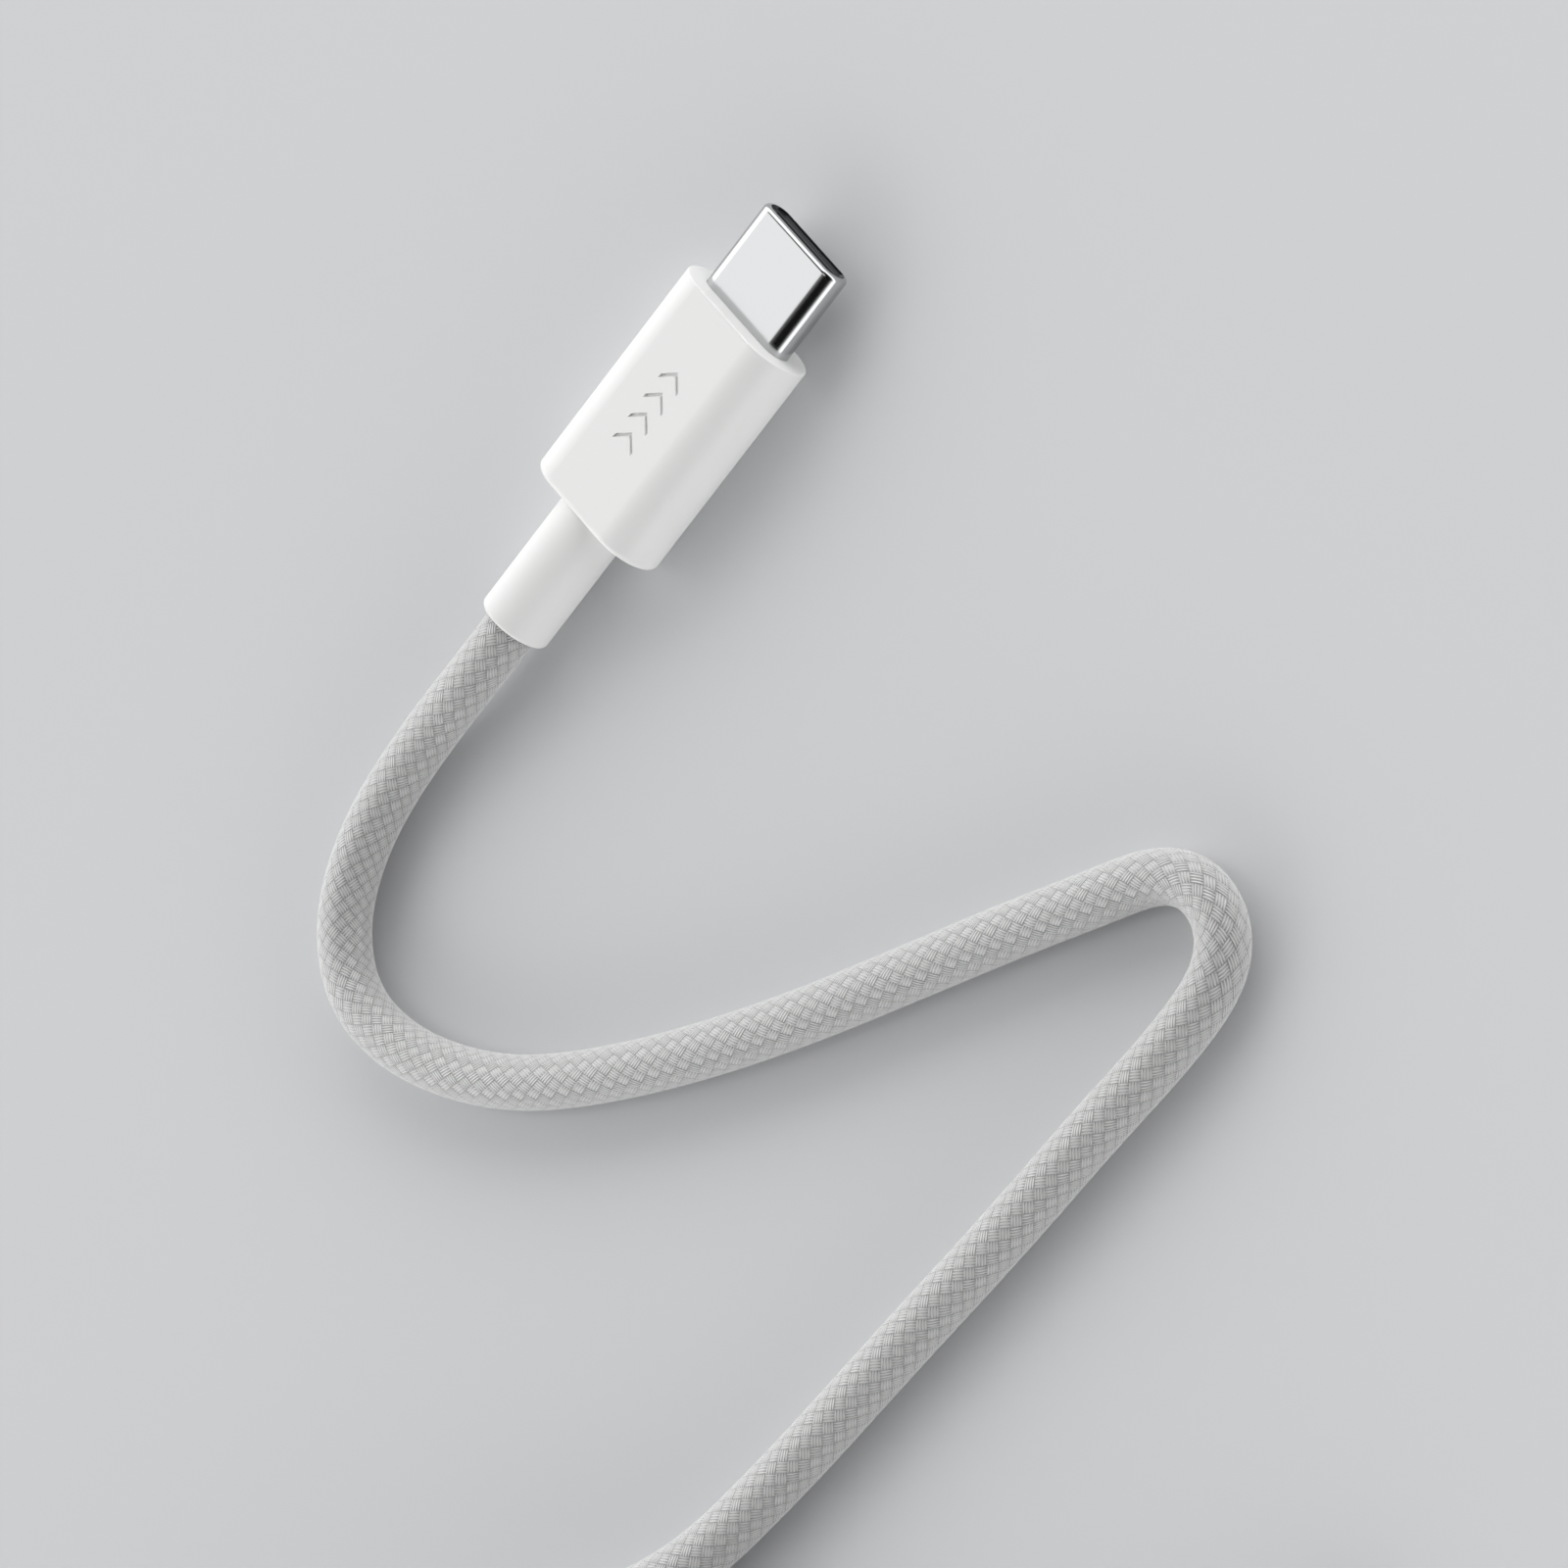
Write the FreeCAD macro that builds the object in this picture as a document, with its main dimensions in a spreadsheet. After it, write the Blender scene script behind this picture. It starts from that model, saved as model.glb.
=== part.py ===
import FreeCAD, Part
import math
import os

import Sketcher
from FreeCAD import Placement, Rotation, Vector

# A charging cable with the same small reversible plug on both ends. Everything is in millimetres.
# The near plug lies flat on the table: the origin is under the middle of it, on the table,
# +X runs along it to the tip of its steel shell and +Z points up. Each plug is first drawn
# about its own axis, with x = 0 on the front face of its housing.

doc = FreeCAD.newDocument("charging_cable")
sheet = doc.addObject("Spreadsheet::Sheet", "sizes")

SIZES = [
    # steel shell that goes into the socket
    ("shell_width", 8.25),
    ("shell_height", 2.4),
    ("shell_wall", 0.25),
    ("shell_reach", 6.65),
    ("shell_root", 4.5),
    ("shell_lip", 0.3),
    ("shell_edge", 0.34),
    ("mouth_rim", 0.37),
    # white housing, full round at its sides
    ("housing_width", 11.1),
    ("housing_height", 5.5),
    ("housing_length", 16.9),
    ("housing_end", 1.0),
    ("front_round", 0.15),
    ("rear_round", 0.48),
    # row of plain chevrons engraved in the top of the housing
    ("mark_start", 11.3),
    ("mark_pitch", 1.7),
    ("mark_width", 2.0),
    ("mark_length", 0.9),
    ("mark_stroke", 0.32),
    ("mark_depth", 0.2),
    # strain relief
    ("relief_diameter", 5.1),
    ("relief_length", 9.3),
    ("relief_round", 0.32),
    ("neck_diameter", 4.4),
    ("flange_width", 8.0),
    ("flange_thick", 0.8),
    # cable: woven sleeve over a smooth jacket
    ("cable_diameter", 3.65),
    ("jacket_diameter", 3.0),
    ("sleeve_stop", 0.6),
    # moulded insulator that fills the shell and takes the socket's tongue
    ("insulator_root", 4.0),
    ("slot_width", 6.9),
    ("slot_height", 0.82),
    ("groove_width", 0.28),
    ("groove_top", 0.72),
    ("groove_front", 5.35),
    # contacts, at numbered places from 1 to 12 across each row
    ("contact_pitch", 0.5),
    ("contact_width", 0.2),
    ("contact_thick", 0.12),
    ("contact_height", 0.5),
    ("contact_reach", 5.1),
    ("dip_depth", 0.1),
    ("dip_slope", 0.9),
    ("dip_toe", 0.6),
    ("tail_length", 6.2),
    ("tail_slope", 0.6),
    ("tail_bend", 0.15),
    # plate between the rows, and the sprung latch arm beside each end of it
    ("plate_thick", 0.12),
    ("plate_width", 6.4),
    ("plate_front", 1.0),
    ("plate_room", 0.1),
    ("latch_thick", 0.2),
    ("latch_height", 0.5),
    ("latch_root", 3.6),
    ("latch_reach", 5.2),
    ("latch_room", 0.12),
    ("hook_depth", 0.36),
    ("hook_slope", 0.4),
    ("hook_flat", 0.3),
    ("hook_nose", 0.5),
    # thin earthing combs above and below the insulator
    ("comb_thick", 0.1),
    ("comb_width", 5.8),
    ("comb_rear", 3.05),
    ("comb_front", 5.85),
    ("comb_root", 0.93),
    ("comb_gap", 0.2),
    # circuit board with its marker chip and capacitors
    ("board_front", 4.7),
    ("board_room", 1.1),
    ("board_width", 7.2),
    ("board_thick", 0.6),
    ("chip_side", 2.0),
    ("chip_height", 0.5),
    ("capacitor_length", 1.0),
    ("capacitor_width", 0.5),
    ("capacitor_height", 0.35),
    ("capacitor_pitch", 1.9),
    # drawn steel shield in two halves, the ferrule behind it and the filling moulded round both
    ("shield_wall", 0.2),
    ("ferrule_wall", 0.25),
    ("ferrule_length", 1.8),
    ("ferrule_gap", 0.1),
    ("relief_room", 0.1),
    ("mould_side", 0.365),
    ("mould_cover", 0.14),
    # insulated wires with bare tips
    ("power_wire_radius", 0.42),
    ("power_wire_place", 0.75),
    ("signal_wire_radius", 0.24),
    ("signal_wire_place", 0.6),
    ("wire_gap", 0.03),
    ("wire_reach", 2.3),
    ("tip_length", 0.7),
    ("tip_root", 0.3),
    ("tip_radius", 0.14),
    # coil of the length that is put away, and the strap round it
    ("turn_gap", 0.5),
    ("layer_gap", 0.5),
    ("inner_turn_radius", 11.5),
    ("lead_length", 4.0),
    ("tail_run", 6.6),
    ("strap_thick", 0.8),
    ("strap_width", 8.0),
    ("strap_round", 2.2),
    ("strap_tab", 6.0),
    ("strap_room", 0.1),
    ("strap_angle", 205.0),
    # room between pieces that are seated on or in each other, and under the cable
    ("fit_gap", 0.02),
    ("table_gap", 0.005),
]
# Sizes that follow from others. The pieces behind the shell are packed forward from the strain
# relief's flange, and the housing is moulded over them, so its wall is what they leave.
FOLLOWING = [
    ("ferrule_diameter", "jacket_diameter + 2 * fit_gap + 2 * ferrule_wall"),
    ("ferrule_rear", "housing_length - housing_end - flange_thick - relief_room"),
    ("shield_length", "ferrule_rear - ferrule_length - ferrule_gap"),
    ("shield_width", "shell_width + 2 * fit_gap + 2 * shield_wall"),
    ("shield_height", "shell_height + 2 * fit_gap + 2 * shield_wall"),
    ("mould_width", "shield_width + 2 * fit_gap + 2 * mould_side"),
    ("mould_height", "ferrule_diameter + 2 * fit_gap + 2 * mould_cover"),
    ("board_length", "shield_length - board_front - board_room"),
    ("wire_stop", "shield_length + ferrule_gap - wire_reach"),
    ("chip_place", "(tail_length + wire_stop - tip_length) / 2"),
]
for row, (alias, value) in enumerate(SIZES + FOLLOWING, start=1):
    sheet.set(f"A{row}", alias.replace("_", " "))
    sheet.set(f"B{row}", f"={value}")
    sheet.setAlias(f"B{row}", alias)
doc.recompute()

# The route of the free stretch, chosen by hand: out of the strain relief, down to the table,
# round the wide bend and the tight one beside it, and on to the coil. Each point has its place
# from above and how far the cable is lifted off the table there.
FREE_RUN = [
    (-20.8, 0.0, 0.92),
    (-26.2, 0.5, 0.27),
    (-31.8, 0.3, 0.0),
    (-36.4, -0.9, 0.0),
    (-40.3, -3.3, 0.0),
    (-42.7, -7.2, 0.0),
    (-42.6, -11.8, 0.0),
    (-40.9, -16.4, 0.0),
    (-37.8, -21.2, 0.0),
    (-33.2, -25.6, 0.0),
    (-27.0, -30.3, 0.0),
    (-19.6, -35.0, 0.0),
    (-11.8, -39.3, 0.0),
    (-4.8, -43.1, 0.0),
    (0.9, -46.4, 0.0),
    (5.5, -49.0, 0.0),
    (7.1, -51.9, 0.0),
    (6.4, -55.2, 0.0),
    (3.7, -57.2, 0.0),
    (-1.5, -57.5, 0.0),
    (-8.6, -57.0, 0.0),
    (-18.6, -56.6, 0.0),
    (-29.6, -55.8, 0.0),
    (-40.0, -55.2, 0.0),
    (-50.6, -54.0, 0.1),
    (-59.3, -49.7, 0.895),
    (-67.0, -46.0, 0.895),
]
# Where the far plug's cable comes out of its strain relief.
FAR_EXIT = (-54.2, -92.9)
COIL_TURN_DEGREES = 2364.0
COIL_STEPS = 26
UPPER_CONTACTS = (1, 4, 5, 6, 7, 9, 12)
LOWER_CONTACTS = (1, 4, 5, 9, 12)
CONTACT_COUNT = 12
CHEVRONS = 4
# How much of the shorter run beside a corner its arc takes up.
CORNER_SHARE = 0.45
# Nearer than this is the same place.
TOUCHING = 1e-4

PARTS = {}


def size(formula):
    """The value of a formula written in the names of the sheet's cells."""
    return float(sheet.evalExpression(cells(formula)))


def cells(formula):
    """The same formula with each cell's name led by the sheet's."""
    text = ""
    word = ""
    names = {alias for alias, value in SIZES + FOLLOWING}
    for letter in formula + " ":
        if letter.isalnum() or letter == "_":
            word += letter
            continue
        text += f"sizes.{word}" if word in names else word
        text += letter
        word = ""
    return text.strip()


def bind(thing, target, formula):
    thing.setExpression(target, cells(formula))


def add(kind, name):
    made = doc.addObject(kind, name)
    made.Label = name
    return made


def plane(body, role):
    return next(f for f in body.Origin.OriginFeatures if f.Role == role)


def sketch_on(body, role, place):
    """An empty sketch on one of the body's own planes, moved along that plane's normal."""
    sketch = body.newObject("Sketcher::SketchObject", f"{body.Name}_outline")
    sketch.AttachmentSupport = [(plane(body, role), "")]
    sketch.MapMode = "FlatFace"
    bind(sketch, "AttachmentOffset.Base.z", place)
    return sketch


def name_last(sketch, word, formula):
    """Names the sketch's newest constraint and ties it to the sheet."""
    last = sketch.ConstraintCount - 1
    sketch.renameConstraint(last, word)
    bind(sketch, f"Constraints.{word}", formula)


def stadium(body, place, width, height):
    """A full-round outline across the plug: two straight sides joined by half circles."""
    sketch = sketch_on(body, "YZ_Plane", place)
    radius = size(height) / 2
    half = size(width) / 2 - radius
    centres = (Vector(half, 0, 0), Vector(-half, 0, 0))
    up = Vector(0, 0, 1)
    quarter = math.pi / 2
    sketch.addGeometry(
        [
            Part.LineSegment(Vector(-half, radius, 0), Vector(half, radius, 0)),
            Part.ArcOfCircle(Part.Circle(centres[0], up, radius), -quarter, quarter),
            Part.LineSegment(Vector(half, -radius, 0), Vector(-half, -radius, 0)),
            Part.ArcOfCircle(Part.Circle(centres[1], up, radius), quarter, 3 * quarter),
        ]
    )
    sketch.addConstraint(
        [
            Sketcher.Constraint("Tangent", 0, 2, 1, 2),
            Sketcher.Constraint("Tangent", 2, 1, 1, 1),
            Sketcher.Constraint("Tangent", 2, 2, 3, 2),
            Sketcher.Constraint("Tangent", 0, 1, 3, 1),
            Sketcher.Constraint("Horizontal", 0),
            Sketcher.Constraint("Horizontal", 2),
            Sketcher.Constraint("Symmetric", 1, 3, 3, 3, -1, 1),
        ]
    )
    sketch.addConstraint(Sketcher.Constraint("Radius", 1, radius))
    name_last(sketch, "rounding", f"({height}) / 2")
    sketch.addConstraint(Sketcher.Constraint("DistanceX", 3, 3, 1, 3, 2 * half))
    name_last(sketch, "straight", f"({width}) - ({height})")
    return sketch


def disc(body, place, diameter):
    """A circle round the plug's axis."""
    sketch = sketch_on(body, "YZ_Plane", place)
    sketch.addGeometry(Part.Circle(Vector(0, 0, 0), Vector(0, 0, 1), size(diameter) / 2))
    sketch.addConstraint(Sketcher.Constraint("Coincident", 0, 3, -1, 1))
    sketch.addConstraint(Sketcher.Constraint("Diameter", 0, size(diameter)))
    name_last(sketch, "across", diameter)
    return sketch


def polygon(body, role, place, corners):
    """A closed outline through corners, each given as two formulas in the sketch's own axes."""
    sketch = sketch_on(body, role, place)
    points = [Vector(size(across), size(along), 0) for across, along in corners]
    count = len(points)
    for i in range(count):
        sketch.addGeometry(Part.LineSegment(points[i], points[(i + 1) % count]))
    for i in range(count):
        sketch.addConstraint(Sketcher.Constraint("Coincident", i, 2, (i + 1) % count, 1))
    for i, corner in enumerate(corners):
        for axis, formula in zip("XY", corner):
            if formula == "0":
                line = -2 if axis == "X" else -1
                sketch.addConstraint(Sketcher.Constraint("PointOnObject", i, 1, line))
                continue
            distance = Sketcher.Constraint(f"Distance{axis}", -1, 1, i, 1, size(formula))
            sketch.addConstraint(distance)
            name_last(sketch, f"{axis.lower()}{i}", formula)
    return sketch


def pad(body, sketch, length, middle=False):
    made = body.newObject("PartDesign::Pad", f"{body.Name}_pad")
    made.Profile = sketch
    made.Midplane = middle
    bind(made, "Length", length)
    doc.recompute()
    return made


def pocket(body, sketch, length, middle=False):
    """Cuts away from the sketch, against its normal."""
    before = body.Shape.Volume
    made = body.newObject("PartDesign::Pocket", f"{body.Name}_pocket")
    made.Profile = sketch
    made.Midplane = middle
    bind(made, "Length", length)
    doc.recompute()
    if not made.Shape.Volume < before:
        raise RuntimeError(f"a pocket of {body.Name} cuts nothing")
    return made


def round_edges(body, radius, chosen):
    """A fillet on the edges of the body's last feature that chosen() picks."""
    base = body.Tip
    edges = [f"Edge{i}" for i, edge in enumerate(base.Shape.Edges, start=1) if chosen(edge)]
    made = body.newObject("PartDesign::Fillet", f"{body.Name}_round")
    made.Base = (base, edges)
    bind(made, "Radius", radius)
    doc.recompute()
    return made


def at_x(edge, formula):
    """Whether an edge lies in the plane across the plug at x."""
    extent = edge.BoundBox
    x = size(formula)
    return abs(extent.XMin - x) < TOUCHING and abs(extent.XMax - x) < TOUCHING


def box(name, along, across, up):
    """A block between three pairs of formulas, low and high."""
    made = add("Part::Box", name)
    for side, axis, (low, high) in zip(("Length", "Width", "Height"), "xyz", (along, across, up)):
        bind(made, side, f"({high}) - ({low})")
        bind(made, f"Placement.Base.{axis}", low)
    return made


def rod(name, along, across, up, radius):
    """A round bar along the plug, from low to high."""
    low, high = along
    made = add("Part::Cylinder", name)
    made.Placement = Placement(Vector(0, 0, 0), Rotation(Vector(0, 1, 0), 90))
    bind(made, "Radius", radius)
    bind(made, "Height", f"({high}) - ({low})")
    bind(made, "Placement.Base.x", low)
    bind(made, "Placement.Base.y", across)
    bind(made, "Placement.Base.z", up)
    return made


def group(name, pieces):
    """Separate solids that share one name."""
    made = add("Part::Compound", name)
    made.Links = pieces
    return made


def cut(name, base, tool):
    made = add("Part::Cut", name)
    made.Base = base
    made.Tool = tool
    return made


def make_shell(name):
    body = add("PartDesign::Body", name)
    outer = stadium(body, "-shell_root", "shell_width", "shell_height")
    pad(body, outer, "shell_root + shell_reach")
    round_edges(body, "shell_edge", lambda edge: at_x(edge, "shell_reach"))
    bore = ("shell_width - 2 * shell_wall", "shell_height - 2 * shell_wall")
    pocket(body, stadium(body, "shell_reach - shell_lip", *bore), "shell_root + shell_reach - shell_lip")
    mouth = ("shell_width - 2 * mouth_rim", "shell_height - 2 * mouth_rim")
    pocket(body, stadium(body, "shell_reach", *mouth), "2 * shell_lip")
    return body


def make_insulator(name):
    """Front frame, floor and roof with a groove for every contact, and a solid rear block."""
    body = add("PartDesign::Body", name)
    front = "shell_reach - shell_lip - fit_gap"
    width = "shell_width - 2 * shell_wall - 2 * fit_gap"
    height = "shell_height - 2 * shell_wall - 2 * fit_gap"
    pad(body, stadium(body, "-insulator_root", width, height), f"insulator_root + {front}")
    across = ("-slot_width / 2", "slot_width / 2")
    up = ("-slot_height / 2", "slot_height / 2")
    pocket(body, rectangle(body, "YZ_Plane", front, across, up), front)
    first = f"-({CONTACT_COUNT} - 1) / 2 * contact_pitch"
    inside_slot = "slot_height / 2 - fit_gap"
    groove = two_rectangles(body, "groove_front", first, "groove_width", inside_slot, "groove_top")
    repeat(body, pocket(body, groove, "groove_front"), groove)
    low = "contact_height - contact_thick / 2 - fit_gap"
    high = "contact_height + contact_thick / 2 + fit_gap"
    channel = two_rectangles(body, "fit_gap", first, "contact_width + 2 * fit_gap", low, high)
    repeat(body, pocket(body, channel, "insulator_root + 2 * fit_gap"), channel)
    seat = rectangle(
        body,
        "YZ_Plane",
        "-plate_front + fit_gap",
        ("-plate_width / 2 - fit_gap", "plate_width / 2 + fit_gap"),
        ("-plate_thick / 2 - fit_gap", "plate_thick / 2 + fit_gap"),
    )
    pocket(body, seat, "insulator_root")
    for side in ("", "-"):
        near = f"{side}(slot_width / 2 - latch_room)"
        far = f"{side}shell_width / 2"
        room = ("-latch_root - latch_room", "latch_reach + 2 * latch_room")
        channel = rectangle(body, "XY_Plane", "latch_height / 2 + latch_room / 2", room, (near, far))
        pocket(body, channel, "latch_height + latch_room")
    floor = "shell_height / 2 - shell_wall - 2 * fit_gap - comb_thick - fit_gap"
    for place in ("shell_height / 2", f"-({floor})"):
        recess = rectangle(
            body,
            "XY_Plane",
            place,
            ("comb_rear - fit_gap", "comb_front + fit_gap"),
            ("-comb_width / 2 - fit_gap", "comb_width / 2 + fit_gap"),
        )
        pocket(body, recess, f"shell_height / 2 - ({floor})")
    return body


def rectangle(body, role, place, across, along):
    """A rectangular outline between two pairs of formulas."""
    corners = [(across[i], along[j]) for i, j in ((0, 0), (1, 0), (1, 1), (0, 1))]
    return polygon(body, role, place, corners)


def two_rectangles(body, place, middle, width, low, high):
    """The same rectangle above and below the plug's middle plane."""
    sketch = sketch_on(body, "YZ_Plane", place)
    left = f"{middle} - ({width}) / 2"
    right = f"{middle} + ({width}) / 2"
    for part, (bottom, top) in enumerate(((low, high), (f"-({high})", f"-({low})"))):
        corners = [(left, bottom), (right, bottom), (right, top), (left, top)]
        points = [Vector(size(across), size(up), 0) for across, up in corners]
        base = 4 * part
        for i in range(4):
            sketch.addGeometry(Part.LineSegment(points[i], points[(i + 1) % 4]))
        for i in range(4):
            sketch.addConstraint(Sketcher.Constraint("Coincident", base + i, 2, base + (i + 1) % 4, 1))
        for i, corner in enumerate(corners):
            for axis, formula in zip("XY", corner):
                distance = Sketcher.Constraint(f"Distance{axis}", -1, 1, base + i, 1, size(formula))
                sketch.addConstraint(distance)
                name_last(sketch, f"{axis.lower()}{base + i}", formula)
    return sketch


def repeat(body, feature, sketch):
    """The feature at every contact's place across the plug."""
    made = body.newObject("PartDesign::LinearPattern", f"{body.Name}_row")
    made.Originals = [feature]
    made.Direction = (sketch, ["H_Axis"])
    made.Occurrences = CONTACT_COUNT
    bind(made, "Length", f"{CONTACT_COUNT - 1} * contact_pitch")
    body.Tip = made
    doc.recompute()


def make_contacts(name, places, upside_down):
    """One row of sprung contacts: tails over the board, blades that dip towards the tongue."""
    tail = "board_thick / 2 + contact_thick / 2 + fit_gap / 2"
    line = [
        ("-tail_length", tail),
        ("-insulator_root - tail_bend - tail_slope", tail),
        ("-insulator_root - tail_bend", "contact_height"),
        ("contact_reach - dip_toe - dip_slope", "contact_height"),
        ("contact_reach - dip_toe", "contact_height - dip_depth"),
        ("contact_reach", "contact_height + dip_depth / 2"),
    ]
    above = [(x, f"{z} + contact_thick / 2") for x, z in line]
    below = [(x, f"{z} - contact_thick / 2") for x, z in reversed(line)]
    blade = add("PartDesign::Body", f"{name}_blade")
    # The XZ plane's own axes are x and z, and its normal points to -Y.
    pad(blade, polygon(blade, "XZ_Plane", "0", above + below), "contact_width", middle=True)
    copies = []
    for place in places:
        link = doc.addObject("App::Link", f"{name}_{place}")
        link.LinkedObject = blade
        angle = 180 if upside_down else 0
        link.Placement = Placement(Vector(0, 0, 0), Rotation(Vector(1, 0, 0), angle))
        bind(link, "Placement.Base.y", f"({place} - (1 + {CONTACT_COUNT}) / 2) * contact_pitch")
        copies.append(link)
    return group(name, copies)


def make_ground_plate(name):
    across = ("-plate_width / 2", "plate_width / 2")
    up = ("-plate_thick / 2", "plate_thick / 2")
    return box(name, ("-insulator_root + plate_room", "-plate_front"), across, up)


def make_latch(name, side):
    """A sprung arm beside the tongue's slot, with a hook that clicks into the tongue's notch."""
    inner = "(slot_width / 2 - fit_gap)"
    outer = "(slot_width / 2 - fit_gap + latch_thick)"
    hook = "(slot_width / 2 - fit_gap - hook_depth)"
    corners = [
        ("-latch_root", f"{side}{inner}"),
        ("latch_reach - hook_nose - hook_flat - hook_slope", f"{side}{inner}"),
        ("latch_reach - hook_nose - hook_flat", f"{side}{hook}"),
        ("latch_reach - hook_nose", f"{side}{hook}"),
        ("latch_reach", f"{side}{inner}"),
        ("latch_reach", f"{side}{outer}"),
        ("-latch_root", f"{side}{outer}"),
    ]
    body = add("PartDesign::Body", name)
    pad(body, polygon(body, "XY_Plane", "0", corners), "latch_height", middle=True)
    return body


def make_combs(name):
    """Two thin spring plates, each slit into four fingers."""
    made = []
    for word, sign in (("upper", ""), ("lower", "-")):
        outside = "shell_height / 2 - shell_wall - 2 * fit_gap"
        levels = [f"{sign}({outside} - comb_thick)", f"{sign}({outside})"]
        if sign:
            levels.reverse()
        sheet_piece = box(
            f"{name}_{word}_sheet",
            ("comb_rear", "comb_front"),
            ("-comb_width / 2", "comb_width / 2"),
            levels,
        )
        slits = []
        for slit in (-1, 0, 1):
            middle = f"{slit} * comb_width / 4"
            slits.append(
                box(
                    f"{name}_{word}_slit_{slit + 2}",
                    ("comb_rear + comb_root", "comb_front + comb_gap"),
                    (f"{middle} - comb_gap / 2", f"{middle} + comb_gap / 2"),
                    (f"{levels[0]} - comb_thick", f"{levels[1]} + comb_thick"),
                )
            )
        made.append(cut(f"{name}_{word}", sheet_piece, group(f"{name}_{word}_slits", slits)))
    return group(name, made)


def make_board(name):
    along = ("-board_front - board_length", "-board_front")
    across = ("-board_width / 2", "board_width / 2")
    return box(name, along, across, ("-board_thick / 2", "board_thick / 2"))


def make_chip(name):
    along = ("-chip_place - chip_side / 2", "-chip_place + chip_side / 2")
    across = ("-chip_side / 2", "chip_side / 2")
    up = ("board_thick / 2 + fit_gap", "board_thick / 2 + fit_gap + chip_height")
    return box(name, along, across, up)


def make_capacitors(name):
    made = []
    for number in (-1, 0, 1):
        middle = f"{number} * capacitor_pitch"
        made.append(
            box(
                f"{name}_{number + 2}",
                ("-chip_place - capacitor_length / 2", "-chip_place + capacitor_length / 2"),
                (f"{middle} - capacitor_width / 2", f"{middle} + capacitor_width / 2"),
                ("-board_thick / 2 - fit_gap - capacitor_height", "-board_thick / 2 - fit_gap"),
            )
        )
    return group(name, made)


def make_wires(name, places, radius):
    """Insulated wires that lie on the board, each with its bare tip."""
    start = "-shield_length - ferrule_gap + fit_gap"
    stop = "-wire_stop"
    made = []
    for number, (across, up) in enumerate(places, start=1):
        sleeve = rod(f"{name}_{number}_sleeve", (start, stop), across, up, radius)
        # The bare tip is thinner than the sleeve and lies on the board.
        towards_board = "-" if size(up) > 0 else "+"
        lower = f"{up} {towards_board} ({radius} - tip_radius - fit_gap)"
        along = (f"{stop} - tip_root", f"{stop} + tip_length")
        tip = rod(f"{name}_{number}_tip", along, across, lower, "tip_radius")
        whole = add("Part::Fuse", f"{name}_{number}")
        whole.Base = sleeve
        whole.Tool = tip
        made.append(whole)
    return group(name, made)


def make_shield(name, upper):
    """One half of the drawn shield: a half stadium sleeve over the shell's root and the board."""
    body = add("PartDesign::Body", name)
    length = "shield_length - housing_end - fit_gap"
    pad(body, stadium(body, "-shield_length", "shield_width", "shield_height"), length)
    inner = ("shell_width + 2 * fit_gap", "shell_height + 2 * fit_gap")
    pocket(body, stadium(body, "-housing_end - fit_gap", *inner), length)
    half = rectangle(
        body,
        "XY_Plane",
        "fit_gap / 2" if upper else "shell_height",
        ("-shield_length - shield_wall", "0"),
        ("-shield_width", "shield_width"),
    )
    pocket(body, half, "2 * shell_height" if upper else "shell_height + fit_gap / 2")
    return body


def make_inner_mould(name):
    """Moulded filling between the shield and the housing."""
    body = add("PartDesign::Body", name)
    rear = "-housing_length + housing_end + fit_gap + flange_thick + fit_gap"
    length = f"-housing_end - fit_gap - ({rear})"
    pad(body, stadium(body, rear, "mould_width", "mould_height"), length)
    room = ("shield_width + 2 * fit_gap", "shield_height + 2 * fit_gap")
    pocket(body, stadium(body, "-housing_end - fit_gap", *room), "shield_length - housing_end")
    bore = disc(body, "-housing_end - fit_gap", "ferrule_diameter + 2 * fit_gap")
    pocket(body, bore, "housing_length")
    return body


def make_housing(name):
    """One piece moulded over everything behind the shell, with a row of engraved chevrons."""
    body = add("PartDesign::Body", name)
    pad(body, stadium(body, "-housing_length", "housing_width", "housing_height"), "housing_length")
    round_edges(body, "rear_round", lambda edge: at_x(edge, "-housing_length"))
    round_edges(body, "front_round", lambda edge: at_x(edge, "0"))
    inside = ("mould_width + 2 * fit_gap", "mould_height + 2 * fit_gap")
    pocket(body, stadium(body, "-housing_end", *inside), "housing_length - 2 * housing_end")
    window = ("shell_width + 2 * fit_gap", "shell_height + 2 * fit_gap")
    pocket(body, stadium(body, "0", *window), "housing_end + fit_gap")
    hole = disc(body, "-housing_length + 2 * housing_end", "neck_diameter + 2 * fit_gap")
    pocket(body, hole, "3 * housing_end")
    back = "-mark_start"
    corners = [
        (back, "-mark_width / 2"),
        (f"{back} + mark_stroke", "-mark_width / 2"),
        (f"{back} + mark_stroke + mark_length", "0"),
        (f"{back} + mark_stroke", "mark_width / 2"),
        (back, "mark_width / 2"),
        (f"{back} + mark_length", "0"),
    ]
    chevron = polygon(body, "XY_Plane", "housing_height / 2", corners)
    first = pocket(body, chevron, "mark_depth")
    row = body.newObject("PartDesign::LinearPattern", f"{name}_marks")
    row.Originals = [first]
    row.Direction = (chevron, ["H_Axis"])
    row.Occurrences = CHEVRONS
    bind(row, "Length", f"{CHEVRONS - 1} * mark_pitch")
    body.Tip = row
    doc.recompute()
    return body


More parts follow.
